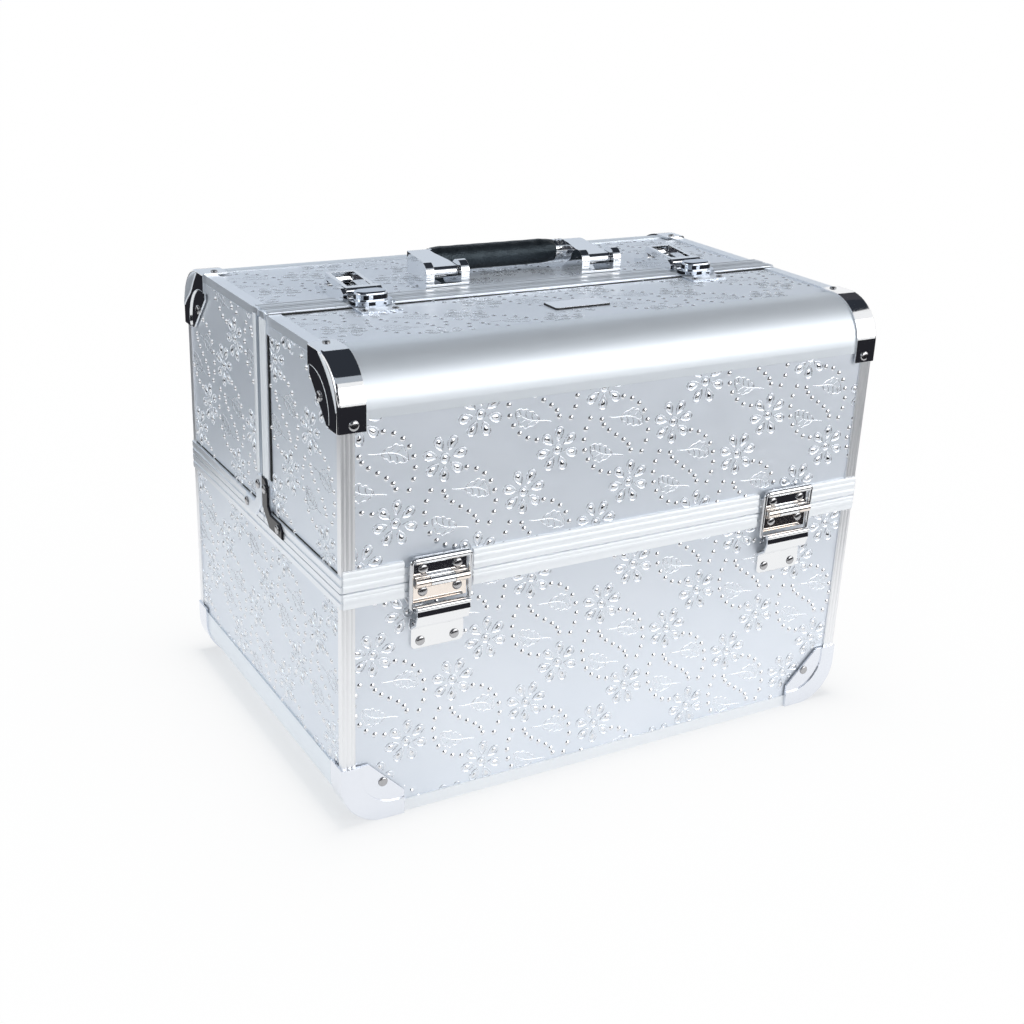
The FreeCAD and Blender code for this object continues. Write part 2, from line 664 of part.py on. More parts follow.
def stop_pocket():
    """Bent bracket on the base's front panel: the bail's lower bar slides down behind it."""
    half = LEAF_WIDTH / 2
    t = POCKET_SHEET
    face_y = -PANEL_D
    top = SEAM_HEIGHT - POCKET_TOP
    bend = SEAM_HEIGHT - POCKET_BEND
    knee = SEAM_HEIGHT - POCKET_KNEE
    foot = SEAM_HEIGHT - POCKET_FOOT
    bottom = SEAM_HEIGHT - POCKET_BOTTOM
    section = outline(V(-half, face_y, bottom), V(-half, face_y - t, bottom), V(-half, face_y - t, foot),
                      V(-half, face_y - POCKET_KNEE_OUT, knee), V(-half, face_y - POCKET_BEND_OUT, bend),
                      V(-half, face_y - POCKET_TOP_OUT, top), V(-half, face_y - POCKET_TOP_OUT + t, top),
                      V(-half, face_y - POCKET_BEND_OUT + t, bend),
                      V(-half, face_y - POCKET_KNEE_OUT + t, knee + t / 2), V(-half, face_y, foot + t))
    sheet = section.extrude(V(LEAF_WIDTH, 0, 0))
    low_edges = [e for e in sheet.Edges if e.BoundBox.ZMax < bottom + LIP and e.BoundBox.YLength > t / 2]
    sheet = sheet.makeFillet(POCKET_CORNER, low_edges)
    lip = cross_rod(POCKET_LIP_RADIUS, -half, half, face_y - POCKET_TOP_OUT + t / 2, top)
    return fuse(sheet, lip)


def leaf_rivets(z):
    y = -RIM_FACE - LEAF_SHEET
    return [rivet(V(x, y, z), -Y_AXIS) for x in (-LEAF_RIVET_X, LEAF_RIVET_X)]


def pocket_rivets():
    z = SEAM_HEIGHT - POCKET_BOTTOM + POCKET_RIVET_UP
    return [rivet(V(x, -PANEL_D - POCKET_SHEET, z), -Y_AXIS) for x in (-LEAF_RIVET_X, LEAF_RIVET_X)]


def at_front_hinges(shape):
    return left_and_right(move(shape, x=HINGE_X))


def at_all_hinges(shape):
    front = at_front_hinges(shape)
    return front + [mirror_y(one) for one in front]


# Trays and arms, drawn for the front


def tray(pivot, reach, arm_pivot_in):
    """Open tray with cross dividers, bored at each end for the lid's pin and the arm's pin."""
    bottom = SEAM_HEIGHT + pivot[1] - TRAY_PIVOT_UP
    front = AXIS_Y + TRAY_FRONT
    back = -HALF_D + reach - TRAY_BACK_CLEAR
    span_z = (bottom, bottom + TRAY_HEIGHT)
    shell = box((-TRAY_HALF_LENGTH, TRAY_HALF_LENGTH), (front, back), span_z)
    shell = rounded_upright_edges(shell, TRAY_ROUND)
    cells = TRAY_DIVIDERS + 1
    inside = 2 * TRAY_HALF_LENGTH - 2 * TRAY_WALL
    cell = (inside - TRAY_DIVIDERS * TRAY_WALL) / cells
    for index in range(cells):
        x = -TRAY_HALF_LENGTH + TRAY_WALL + index * (cell + TRAY_WALL)
        room = box((x, x + cell), (front + TRAY_WALL, back - TRAY_WALL), (bottom + TRAY_WALL, span_z[1]))
        shell = shell.cut(room)
    bore = TRAY_PIN_RADIUS + RUNNING_CLEAR
    for place_in, place_up in (pivot, (pivot[0] + arm_pivot_in, pivot[1] + ARM_PIVOT_UP)):
        for side in (-1, 1):
            shell = shell.cut(cross_rod(bore, side * TRAY_HALF_LENGTH, side * (TRAY_HALF_LENGTH - TRAY_WALL),
                                        AXIS_Y + place_in, SEAM_HEIGHT + place_up))
    return shell


def tray_pin(y, z, root):
    """Headed pin from a wall or an arm, at root, into the right end of a tray."""
    tray_face = TRAY_HALF_LENGTH + PIN_SIDE_CLEAR
    inside = TRAY_HALF_LENGTH - TRAY_WALL - PIN_SIDE_CLEAR
    shoulder = cross_rod(TRAY_PIN_HEAD, tray_face, root, y, z)
    shank = cross_rod(TRAY_PIN_RADIUS, inside, tray_face, y, z)
    head = cross_rod(TRAY_PIN_HEAD, inside - PIN_HEAD_SHEET, inside, y, z)
    return fuse(shoulder, shank, head)


def lid_tray_pins():
    places = (LOWER_PIVOT, UPPER_PIVOT)
    return [tray_pin(AXIS_Y + place[0], SEAM_HEIGHT + place[1], INNER_W) for place in places]


def arm_bar(start, end, x):
    """A flat bar with round ends between two pivots, with its inner face at x."""
    half = ARM_WIDTH / 2
    along = (end - start).normalize()
    across = V(0, -along.z, along.y) * half
    plate = outline(start + across, (start - along * half, start - across), end - across,
                    (end + along * half, end + across))
    plate = plate.extrude(V(ARM_SHEET, 0, 0))
    return move(plate, x=x)


def tray_arm(pivot_in):
    """Bent arm on the right: it turns on the base and carries one pin for each tray."""
    x = INNER_W - ARM_SIDE_CLEAR - ARM_SHEET
    root = V(0, AXIS_Y + pivot_in, SEAM_HEIGHT + ARM_PIVOT_UP)
    lower = root + V(0, LOWER_PIVOT[0], LOWER_PIVOT[1])
    upper = root + V(0, UPPER_PIVOT[0], UPPER_PIVOT[1])
    arm = fuse(arm_bar(root, lower, x), arm_bar(lower, upper, x),
               tray_pin(lower.y, lower.z, x), tray_pin(upper.y, upper.z, x))
    return arm.cut(cross_rod(ARM_PIN_RADIUS + RUNNING_CLEAR, x, x + ARM_SHEET, root.y, root.z))


# Handle, on the rear half


def handle_axis():
    """Height and Y of the handle's pins."""
    y = SPLIT_Y + CLEVIS_FRONT + HANDLE_PIN_BACK
    return y, LID_PANEL_TOP + CLEVIS_HEIGHT


def handle_clevis():
    """Right bracket: two cheeks with round tops, a floor and a low front sill."""
    pin_y, pin_z = handle_axis()
    front = SPLIT_Y + CLEVIS_FRONT
    back = front + CLEVIS_LENGTH
    bottom = LID_PANEL_TOP
    half = CLEVIS_WIDTH / 2
    lean = V(0, pin_y, pin_z) + V(0, CLEVIS_ROUND, 0)
    cheek = outline(V(0, front, bottom), V(0, back, bottom), V(0, back, bottom + CLEVIS_TOE), lean,
                    (V(0, pin_y, pin_z + CLEVIS_ROUND), V(0, pin_y - CLEVIS_ROUND, pin_z)))
    cheek = cheek.extrude(V(CLEVIS_CHEEK, 0, 0))
    room = half - CLEVIS_CHEEK
    floor = box((-room, room), (front, back), (bottom, bottom + CLEVIS_FLOOR))
    sill = box((-room, room), (front, front + CLEVIS_SILL_SHEET), (bottom, bottom + CLEVIS_SILL))
    clevis = fuse(floor, sill, move(cheek, x=room), move(cheek, x=-half))
    clevis = clevis.cut(cross_rod(HANDLE_PIN_RADIUS, -half, half, pin_y, pin_z))
    return move(clevis, x=HANDLE_X)


def handle_pin():
    pin_y, pin_z = handle_axis()
    half = CLEVIS_WIDTH / 2
    return cross_rod(HANDLE_PIN_RADIUS, HANDLE_X - half, HANDLE_X + half, pin_y, pin_z)


def handle_arm_inside():
    """X of the inner face of the right handle arm."""
    return HANDLE_X - CLEVIS_WIDTH / 2 + CLEVIS_CHEEK + ARM_SIDE_GAP


def collar_end():
    """X of the face of the right handle arm that the collar stands on."""
    return handle_arm_inside() + ARM_TAPER


def handle_arm_side():
    """Side view of a handle arm: it widens from a boss on the pin to the grip's end."""
    pin = V(0, *handle_axis())
    grip = V(0, *grip_axis())
    tilt = math.asin((HANDLE_END_RADIUS - HANDLE_BOSS) / HANDLE_REACH)
    up = V(0, -math.sin(tilt), math.cos(tilt))
    down = V(0, up.y, -up.z)
    return outline(pin + up * HANDLE_BOSS, (pin + V(0, -HANDLE_BOSS, 0), pin + down * HANDLE_BOSS),
                   grip + down * HANDLE_END_RADIUS,
                   (grip + V(0, HANDLE_END_RADIUS, 0), grip + up * HANDLE_END_RADIUS))


def handle_arm_plan(inside, outside):
    """Top view of the right handle arm: stepped in behind the bracket, with a round outer corner."""
    pin_y, pin_z = handle_axis()
    near = pin_y - HANDLE_BOSS
    far = pin_y + HANDLE_REACH + HANDLE_END_RADIUS
    seat = far - 2 * HANDLE_END_RADIUS - LIP
    corner = V(outside - ARM_CORNER, far - ARM_CORNER, pin_z)
    return outline(V(inside, near, pin_z), V(outside, near, pin_z), V(outside, corner.y, pin_z),
                   (on_arc(corner, ARM_CORNER, X_AXIS, Y_AXIS), V(corner.x, far, pin_z)),
                   V(collar_end(), far, pin_z), V(collar_end(), seat, pin_z),
                   V(inside, pin_y + ARM_TAPER_START, pin_z))


def handle_arm():
    """Right arm, bored for the pin and with a peg for the grip."""
    pin_y, pin_z = handle_axis()
    inside = handle_arm_inside()
    outside = 2 * HANDLE_X - inside
    arm = move(handle_arm_side(), x=inside).extrude(V(outside - inside, 0, 0))
    plan = move(handle_arm_plan(inside, outside), z=-HANDLE_END_RADIUS)
    arm = arm.common(plan.extrude(V(0, 0, 2 * HANDLE_END_RADIUS)))
    arm = arm.cut(cross_rod(HANDLE_PIN_RADIUS + RUNNING_CLEAR, inside, outside, pin_y, pin_z))
    return fuse(arm, cross_rod(PEG_RADIUS, collar_end() - PEG_LENGTH, collar_end(), *grip_axis()))


def grip_axis():
    pin_y, pin_z = handle_axis()
    return pin_y + HANDLE_REACH, pin_z


def handle_collar():
    """Right sleeve between the arm and the grip, with grooves between its rings."""
    y, z = grip_axis()
    outer = collar_end()
    inner = outer - COLLAR_LENGTH
    collar = cross_rod(COLLAR_RADIUS, inner, outer, y, z).cut(cross_rod(PEG_RADIUS, inner, outer, y, z))
    for ring in range(1, COLLAR_RINGS):
        middle = inner + ring * COLLAR_LENGTH / COLLAR_RINGS
        span = (middle - COLLAR_GROOVE / 2, middle + COLLAR_GROOVE / 2)
        groove = cross_rod(COLLAR_RADIUS, *span, y, z)
        collar = collar.cut(groove.cut(cross_rod(COLLAR_RADIUS - COLLAR_GROOVE_DEPTH, *span, y, z)))
    return collar


def handle_grip():
    """Barrel-shaped grip with tapered ends, bored there for the pegs."""
    y, z = grip_axis()
    half = collar_end() - COLLAR_LENGTH
    shoulder = half - GRIP_SHOULDER
    profile = outline(V(-half, 0, 0), V(half, 0, 0), V(half, 0, GRIP_END_RADIUS),
                      V(shoulder, 0, GRIP_SHOULDER_RADIUS),
                      (V(0, 0, GRIP_MID_RADIUS), V(-shoulder, 0, GRIP_SHOULDER_RADIUS)),
                      V(-half, 0, GRIP_END_RADIUS))
    grip = profile.revolve(ORIGIN, X_AXIS, 360)
    depth = PEG_LENGTH - COLLAR_LENGTH
    for side in (-1, 1):
        grip = grip.cut(cross_rod(PEG_RADIUS, side * (half - depth), side * half, 0, 0))
    return move(grip, y=y, z=z)


# Latches: base and lever on the rear half, strike on the front half, drawn at X = 0


def latch_axis():
    """Y and height of the lever's pin."""
    return SPLIT_Y + LATCH_PIVOT_BACK, RAIL_TOP + LATCH_PIVOT_UP


def latch_base():
    """Plate behind the split rail, with two ears that reach over the rail and hold the lever's pin."""
    pin_y, pin_z = latch_axis()
    half = LATCH_WIDTH / 2
    front = SPLIT_Y + SPLIT_GAP / 2 + RAIL_WIDTH
    back = front + LATCH_BASE_LENGTH
    floor = LID_PANEL_TOP
    over = RAIL_TOP
    nose = SPLIT_Y + SPLIT_GAP
    plate = box((-half, half), (front, back), (floor, floor + LATCH_SHEET))
    ear = outline(V(0, front, floor), V(0, back, floor), V(0, back, floor + LATCH_EAR_TAIL),
                  V(0, pin_y + LATCH_PIVOT_BACK, over + LATCH_EAR_HEIGHT),
                  V(0, pin_y, over + LATCH_EAR_HEIGHT), V(0, nose, pin_z), V(0, nose, over),
                  V(0, front, over))
    ear = ear.extrude(V(LATCH_EAR, 0, 0))
    pin = cross_rod(LATCH_PIN_RADIUS, -half, half, pin_y, pin_z)
    return fuse(plate, move(ear, x=-half), move(ear, x=half - LATCH_EAR), pin)


def lever_underside(y):
    """Height of the lever's lower face at a given Y."""
    pin_y, pin_z = latch_axis()
    slope = (LEVER_RISE + LEVER_BOSS - LEVER_TIP) / LEVER_LENGTH
    return pin_z - LEVER_BOSS + (y - pin_y) * slope


def latch_lever():
    """Lever between the ears: a boss on the pin, two rails with a sunk web and a rolled lip."""
    pin_y, pin_z = latch_axis()
    half = LATCH_WIDTH / 2 - LATCH_EAR - LEVER_SIDE_GAP
    tip_y = pin_y + LEVER_LENGTH
    tip_z = pin_z + LEVER_RISE
    top = tip_z + LEVER_TIP
    blade = outline(V(-half, pin_y, pin_z + LEVER_BOSS), (V(-half, pin_y - LEVER_BOSS, pin_z),
                    V(-half, pin_y, pin_z - LEVER_BOSS)), V(-half, tip_y, lever_underside(tip_y)),
                    V(-half, tip_y, top))
    lip = box((-half, half), (tip_y - LEVER_LIP, tip_y), (tip_z - LEVER_LIP_DROP, tip_z))
    roll = cross_rod(LEVER_ROLL, -half, half, tip_y - LEVER_LIP / 2, tip_z - LEVER_LIP_DROP)
    lever = fuse(blade.extrude(V(2 * half, 0, 0)), lip, roll)
    inside = half - LEVER_RAIL
    near = pin_y + LEVER_BOSS
    far = tip_y - LEVER_RAIL
    sunk = outline(V(-inside, near, lever_underside(near) + LEVER_WEB),
                   V(-inside, far, lever_underside(far) + LEVER_WEB), V(-inside, far, top),
                   V(-inside, near, top))
    window_y = [pin_y + along for along in LEVER_WINDOW]
    window = box((-inside / 2, inside / 2), window_y, (pin_z - LEVER_BOSS, top))
    lever = lever.cut(sunk.extrude(V(2 * inside, 0, 0))).cut(window)
    return lever.cut(cross_rod(LATCH_PIN_RADIUS + RUNNING_CLEAR, -half, half, pin_y, pin_z))


def oval(width, length, y, z, height):
    """A flat oval block: straight front and back, half-round ends."""
    radius = length / 2
    flat = width / 2 - radius
    face = outline(V(-flat, y - radius, z), V(flat, y - radius, z),
                   (V(flat + radius, y, z), V(flat, y + radius, z)), V(-flat, y + radius, z),
                   (V(-flat - radius, y, z), V(-flat, y - radius, z)))
    return face.extrude(V(0, 0, height))


def latch_strike():
    """Strike plate in front of the split rail, with an oval keeper over the rail and a dome on it."""
    half = LATCH_WIDTH / 2
    back = SPLIT_Y - SPLIT_GAP / 2 - RAIL_WIDTH
    keeper_y = SPLIT_Y - KEEPER_BACK - SPLIT_GAP / 2 - KEEPER_LENGTH / 2
    keeper_top = RAIL_TOP + KEEPER_HEIGHT
    plate = box((-half, half), (back - STRIKE_LENGTH, back), (LID_PANEL_TOP, LID_PANEL_TOP + STRIKE_SHEET))
    keeper = oval(LATCH_WIDTH, KEEPER_LENGTH, keeper_y, RAIL_TOP, KEEPER_HEIGHT)
    front_foot = box((-half / 2, half / 2), (keeper_y - KEEPER_LENGTH / 2 + SEAT_GAP, back),
                     (LID_PANEL_TOP, RAIL_TOP))
    dome = oval(DOME_WIDTH, DOME_LENGTH, keeper_y, keeper_top, DOME_HEIGHT)
    top_edges = [e for e in dome.Edges if e.BoundBox.ZMin > keeper_top + DOME_HEIGHT / 2]
    return fuse(plate, keeper, front_foot, dome.makeFillet(DOME_ROUND, top_edges))


def strike_rivets():
    y = SPLIT_Y - SPLIT_GAP / 2 - RAIL_WIDTH - STRIKE_LENGTH + RIVET_RADIUS + LIP
    x = LATCH_WIDTH / 2 - RIVET_RADIUS - LIP
    return [rivet(V(side * x, y, LID_PANEL_TOP + STRIKE_SHEET), Z_AXIS) for side in (-1, 1)]


def latch_base_rivets():
    y = SPLIT_Y + SPLIT_GAP / 2 + RAIL_WIDTH + LATCH_BASE_LENGTH - RIVET_RADIUS - LIP
    x = LATCH_WIDTH / 2 - LATCH_EAR - RIVET_RADIUS - LIP / 2
    return [rivet(V(side * x, y, LID_PANEL_TOP + LATCH_SHEET), Z_AXIS) for side in (-1, 1)]


def at_latches(shape):
    return left_and_right(move(shape, x=LATCH_X))


def badge_plate():
    half = BADGE_WIDTH / 2
    plate = box((-half, half), (BADGE_Y - BADGE_LENGTH / 2, BADGE_Y + BADGE_LENGTH / 2),
                (LID_PANEL_TOP, LID_PANEL_TOP + BADGE_SHEET))
    return rounded_upright_edges(plate, BADGE_ROUND)


# Assembly


def build_base():
    end_panel = base_end_panel()
    bottom_rail = base_bottom_rail()
    export("base_front_panel", end_panel)
    export("base_rear_panel", mirror_y(end_panel))
    export("base_side_panels", left_and_right(base_side_panel()))
    export("base_floor", base_floor())
    export("base_rounded_rails", left_and_right(base_rounded_rail()))
    export("base_bottom_rails", [bottom_rail, mirror_y(bottom_rail)])
    export("base_posts", corners(post(EDGE_RADIUS, BASE_PANEL_TOP)))
    export("base_rim", base_rim())
    export("base_liner", base_liner())
    export("base_corner_caps", corners(base_cap()))
    export("hinge_lower_leaves", at_all_hinges(lower_leaf()))
    export("hinge_pins", at_all_hinges(hinge_pin()))
    export("stop_pockets", at_all_hinges(stop_pocket()))
    front_pivots = left_and_right(arm_pivot(FRONT_ARM_PIVOT_IN))
    rear_pivots = [mirror_y(one) for one in left_and_right(arm_pivot(REAR_ARM_PIVOT_IN))]
    export("arm_pivots", front_pivots + rear_pivots)
    rivets = []
    for one in cap_rivets():
        rivets += corners(one)
    for one in leaf_rivets(SEAM_HEIGHT - LEAF_RIVET_Z) + pocket_rivets():
        rivets += at_all_hinges(one)
    export("base_rivets", rivets)


def build_lid(prefix, reach, arm_pivot_in, turn, own_rivets):
    """One upper half with its bails, arms and trays; turn puts each solid on the front or the rear."""
    def put(node, solids):
        export(prefix + "_" + node, [turn(one) for one in solids])

    put("lid_panel", [lid_face_panel()])
    put("lid_top", [lid_top_panel(reach)])
    put("lid_sides", left_and_right(lid_side_panel(reach)))
    put("lid_rounded_rail", [lid_rounded_rail()])
    put("lid_posts", left_and_right(post(LID_PANEL_BOTTOM, LID_STRAIGHT_TOP)))
    put("lid_top_trims", left_and_right(lid_top_trim(reach)))
    put("lid_split_rail", [lid_split_rail(reach)])
    put("lid_rim", [lid_rim(reach)])
    put("lid_clips", left_and_right(lid_clip()))
    put("lid_brackets", left_and_right(lid_bracket(reach)))
    put("hinge_leaves", at_front_hinges(upper_leaf()))
    put("hinge_bails", at_front_hinges(bail()))
    pins = []
    for one in lid_tray_pins():
        pins += left_and_right(one)
    put("tray_pins", pins)
    put("tray_arms", left_and_right(tray_arm(arm_pivot_in)))
    put("lower_tray", [tray(LOWER_PIVOT, reach, arm_pivot_in)])
    put("upper_tray", [tray(UPPER_PIVOT, reach, arm_pivot_in)])
    rivets = []
    for one in clip_rivets() + bracket_rivets(reach):
        rivets += left_and_right(one)
    for one in leaf_rivets(SEAM_HEIGHT + LEAF_RIVET_Z):
        rivets += at_front_hinges(one)
    export(prefix + "_lid_rivets", [turn(one) for one in rivets] + own_rivets)


def build_top_fittings():
    export("badge_plate", badge_plate())
    export("latch_strikes", at_latches(latch_strike()))
    export("latch_bases", at_latches(latch_base()))
    right_lever = move(latch_lever(), x=LATCH_X)
    export("right_latch_lever", right_lever)
    export("left_latch_lever", mirror_x(right_lever))
    export("handle_brackets", left_and_right(handle_clevis()))
    export("handle_pins", left_and_right(handle_pin()))
    export("handle_arms", left_and_right(handle_arm()))
    export("handle_collars", left_and_right(handle_collar()))
    export("handle_grip", handle_grip())


def main():
    os.makedirs("parts", exist_ok=True)
    strike_heads = []
    base_heads = []
    for one in strike_rivets():
        strike_heads += at_latches(one)
    for one in latch_base_rivets():
        base_heads += at_latches(one)
    build_base()
    build_lid("front", FRONT_REACH, FRONT_ARM_PIVOT_IN, lambda shape: shape, strike_heads)
    build_lid("rear", REAR_REACH, REAR_ARM_PIVOT_IN, mirror_y, base_heads)
    build_top_fittings()


main()
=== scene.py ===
import json
from math import copysign, cos, exp, hypot, pi, radians, sin, sqrt

import bmesh
import bpy
from mathutils import Matrix, Vector


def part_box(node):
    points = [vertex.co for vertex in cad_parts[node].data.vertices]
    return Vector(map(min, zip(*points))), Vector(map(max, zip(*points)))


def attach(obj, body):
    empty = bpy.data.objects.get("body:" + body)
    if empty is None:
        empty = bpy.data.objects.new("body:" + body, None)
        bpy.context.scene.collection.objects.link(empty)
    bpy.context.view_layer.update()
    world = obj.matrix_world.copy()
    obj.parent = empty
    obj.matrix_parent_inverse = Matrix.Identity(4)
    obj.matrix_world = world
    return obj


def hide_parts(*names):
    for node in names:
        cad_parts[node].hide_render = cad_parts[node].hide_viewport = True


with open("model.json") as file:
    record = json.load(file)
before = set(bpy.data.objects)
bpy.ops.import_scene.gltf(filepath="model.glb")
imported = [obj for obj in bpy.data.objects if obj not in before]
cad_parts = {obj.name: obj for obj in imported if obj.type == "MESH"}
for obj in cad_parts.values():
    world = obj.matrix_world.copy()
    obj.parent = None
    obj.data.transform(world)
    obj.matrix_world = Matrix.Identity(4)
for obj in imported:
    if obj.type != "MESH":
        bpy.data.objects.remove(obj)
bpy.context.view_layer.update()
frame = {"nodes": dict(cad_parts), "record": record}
NODES = frame["nodes"]

# Every length below is in metres, and most are written in millimetres, by MM or mm()
MM = 0.001


def mm(*lengths):
    """Several lengths given in millimetres."""
    return tuple(length * MM for length in lengths)


X = Vector((1, 0, 0))
Y = Vector((0, 1, 0))
Z = Vector((0, 0, 1))
SIDES = (("left", -1), ("right", 1))
SHELLS = ("base", "front_lid", "rear_lid")

# The photograph's camera, fitted to the case's edges; distances are in case widths
CASE_WIDTH = 360 * MM
CAMERA_AZIMUTH = radians(-30.622)
CAMERA_ELEVATION = radians(21.861)
CAMERA_ROLL = radians(2.362)
CAMERA_DISTANCE = 2.81178
CAMERA_ACROSS = 0.00247
CAMERA_UP = 0.30800
FOCAL_PIXELS = 1453.73
FRAME_PIXELS = 1024
SENSOR = 36.0

# Ornament of the pressed sheet: one repeat holds a pair of flowers and a beaded oval with two leaves
REPEAT_ACROSS = 50 * MM
REPEAT_UP = 82 * MM
COLUMN_DROP = 27 * MM
PAIR_ACROSS = 21 * MM
PAIR_UP = 22 * MM
PAIR_TURNS = (0.2, 0.6)
PETALS = 7
PETAL_LENGTH = 9.6 * MM
PETAL_WIDTH = 7.4 * MM
PETAL_START = 4.2 * MM
PETAL_MIDDLE = 0.6 * PETAL_LENGTH
PETAL_TAPER = 0.7
PETAL_POINTS = 20
EYE_RADIUS = 3.3 * MM
FLOWER_REACH = PETAL_START + PETAL_LENGTH
LEAF_LENGTH = 17 * MM
LEAF_WIDTH = 11 * MM
LEAF_BOW = 2.0 * MM
LEAF_TAPER = 0.7
LEAF_STEPS = 16
LEAF_LOBES = 4
LOBE_DEPTH = 0.24
LOBE_VEIN = 0.8
VEIN_LAG = 0.16
STALK_SHARES = (-0.45, -0.3, -0.15, 0.0, 0.2, 0.4, 0.6, 0.8, 0.97)
OVAL_ACROSS = 22 * MM
OVAL_UP = 23 * MM
OVAL_DOTS = 22
OVAL_LEAF = (0.45 * OVAL_ACROSS, 0.34 * OVAL_UP)
OVAL_LEAF_TURNS = ((1, -0.35), (-1, pi - 0.45))
CHAIN_DOTS = 7
CHAIN_ACROSS = 0.5
CHAIN_UP = 0.62
CHAIN_WAVE = 0.16
DOT_CLEAR = 1.2 * MM
DOT_RADIUS = 1.8 * MM
DOT_POINTS = 12
RELIEF = 0.6 * MM
RIDGE_HALF = 0.38 * MM
RIDGE_END = 0.3
LEAF_RISE = 0.30 * MM
VEIN_HALF = 0.32 * MM
VEIN_RISE = 0.22 * MM
SUNK = 0.05 * MM
RIM_LEVELS = ((1.0, -SUNK), (0.94, 0.6 * RELIEF), (0.87, 0.6 * RELIEF), (0.80, 0.06 * RELIEF),
              (0.45, 0.06 * RELIEF), (0.36, 0.45 * RELIEF), (0.20, 0.8 * RELIEF))
SEED_TIP = 1.0 * RELIEF
DOT_LEVELS = ((1.0, -SUNK), (0.85, 0.35 * RELIEF), (0.45, 1.1 * RELIEF))
DOT_TIP = 1.6 * RELIEF
TOP_RISE = 0.55
CORNER_CUT = 45.5 * MM
CLIP_RIGHT = {"front_lid": True, "rear_lid": False}

# Where the repeat starts on each kind of panel, across and up
LID_FACE_SHIFT = mm(6, 4)
LID_TOP_SHIFT = mm(2, 11)
LID_SIDE_SHIFT = mm(9, 14)
BASE_FACE_SHIFT = mm(14, 19)
BASE_SIDE_SHIFT = mm(3, 25)

# Strips of pressed sheet on the top trims
STRIP_FOOT = 264 * MM
STRIP_TOP = 269.6 * MM
STRIP_PROUD = 0.15 * MM

# Grip sleeve; folds have a place and a width along it and a weight
GRIP_NECK = 6.7 * MM
GRIP_OVER = 7.3 * MM
GRIP_SLIP = 6.4 * MM
GRIP_FULL = 7.9 * MM
GRIP_TAPER = 0.10
GRIP_STEPS = 96
GRIP_POINTS = 72
GATHERS = 11
GATHER_DEPTH = 0.18 * MM
GATHER_REACH = 0.12
GATHER_TWIST = 3
CREASES = 21
CREASE_DEPTH = 0.10 * MM
FOLDS = ((0.78, 0.07, 1.0), (-0.86, 0.06, 0.5))
FOLD_DEPTH = 0.35 * MM
FOLD_SPREAD = 0.25
STITCH_DEPTH = 0.25 * MM
STITCH_SPREAD = 0.1

# Linings
LINER_FOOT = 21.8 * MM
LINER_CORNER = 6 * MM
LINER_WALL = 1.2 * MM
LINER_CROWN = 1.0 * MM
LINER_FLOOR = (0.75, 0.5, 0.2)
CLOTH = 0.6 * MM
LID_ROUND = 22 * MM
WELD = 0.01 * MM
ARC_STEPS = 8

# Painted shadow strips in the split and along the joints, the pale seam strip and the badge's painted dark
# edge
SPLIT_SHADOW_SIDE = 1.3 * MM
SPLIT_SHADOW_TOP = 0.9 * MM
SPLIT_SHADOW_MIDDLE = 0.5 * MM
SPLIT_SHADOW_OUT = 0.9 * MM
SPLIT_SHADOW_ABOVE = 0.1 * MM
SPLIT_SHADOW_BEHIND = 0.2 * MM
SPLIT_SHADOW_DEPTH = 2 * MM
SPLIT_SHADOW_SAG = 0.7 * MM
SPLIT_SHADOW_SHARES = (-1.0, -0.8, -0.55, -0.3, 0.0, 0.3, 0.55, 0.8, 1.0)
SEAM = mm(146.65, 147.2)
SEAM_OUTER = mm(180.0, 122.0)
SEAM_DEPTH = 2.5 * MM
SEAM_CORNER = 4 * MM
SHADOW_LINE_HIGH = 0.8 * MM
SHADOW_LINE_PROUD = 0.25 * MM
BADGE_RIM = 0.35 * MM
BADGE_CORNER = 1.5 * MM
BADGE_DROPS = mm(0.3, 0.1)

# Ridged facings of the rims, posts and split rails
FACING_END = 179.5 * MM
FACING_BREAK = mm(100.6, 143.4)
FACING_FACE = 123 * MM
FACING_BACK = 2.1 * MM
FACING_PROUD = 0.55 * MM
LID_FACING = (147.5 * MM, mm(4.0, 4.5, 3.4))
BASE_FACING = (137.6 * MM, mm(6.4, 2.6))
RIDGE_STEPS = 8
POST_RIDGES = mm(2.2, 2.8, 2.2)
POST_MARGIN = 0.4 * MM
POST_PROUD = 0.3 * MM
LID_POST_Z = mm(160, 238)
BASE_POST_Z = mm(39, 137)
SPLIT_RIDGES = mm(2.6, 4.1, 2.6)
SPLIT_CHANNEL = mm(4.1)
CHANNEL_PROUD = 0.1 * MM
SPLIT_BEAD = mm(5.2)
SPLIT_MARGIN = 0.1 * MM
SPLIT_PROUD = 0.5 * MM
SPLIT_SIDE_Z = mm(177, 272)
SPLIT_TOP_END = 179 * MM
SPLIT_TOP_BREAK = mm(101, 131)

# Latch keepers: bands of painted dark reflection, as an oval, its heights and spans of degrees, and a
# plate over the foot
LATCH_X = 116 * MM
KEEPER_Y = -18.6 * MM
PAINTED_REFLECTION = 0.1 * MM
PAINTED_REFLECTION_STEPS = 16
PAINTED_REFLECTION_BANDS = (
    ("dome", mm(20.5, 11.6), mm(279.2, 281.8), ((-232, -170), (-142, -122), (-100, 20))),
    ("keeper", mm(26, 15.2), mm(276.2, 278.2), ((-215, -158), (-120, -92))),
)
STRIKE_HALF = mm(12.9, 7.4)
STRIKE_Y = -27.5 * MM
STRIKE_Z = mm(275.0, 275.3)
STRIKE_CORNER = 0.6 * MM

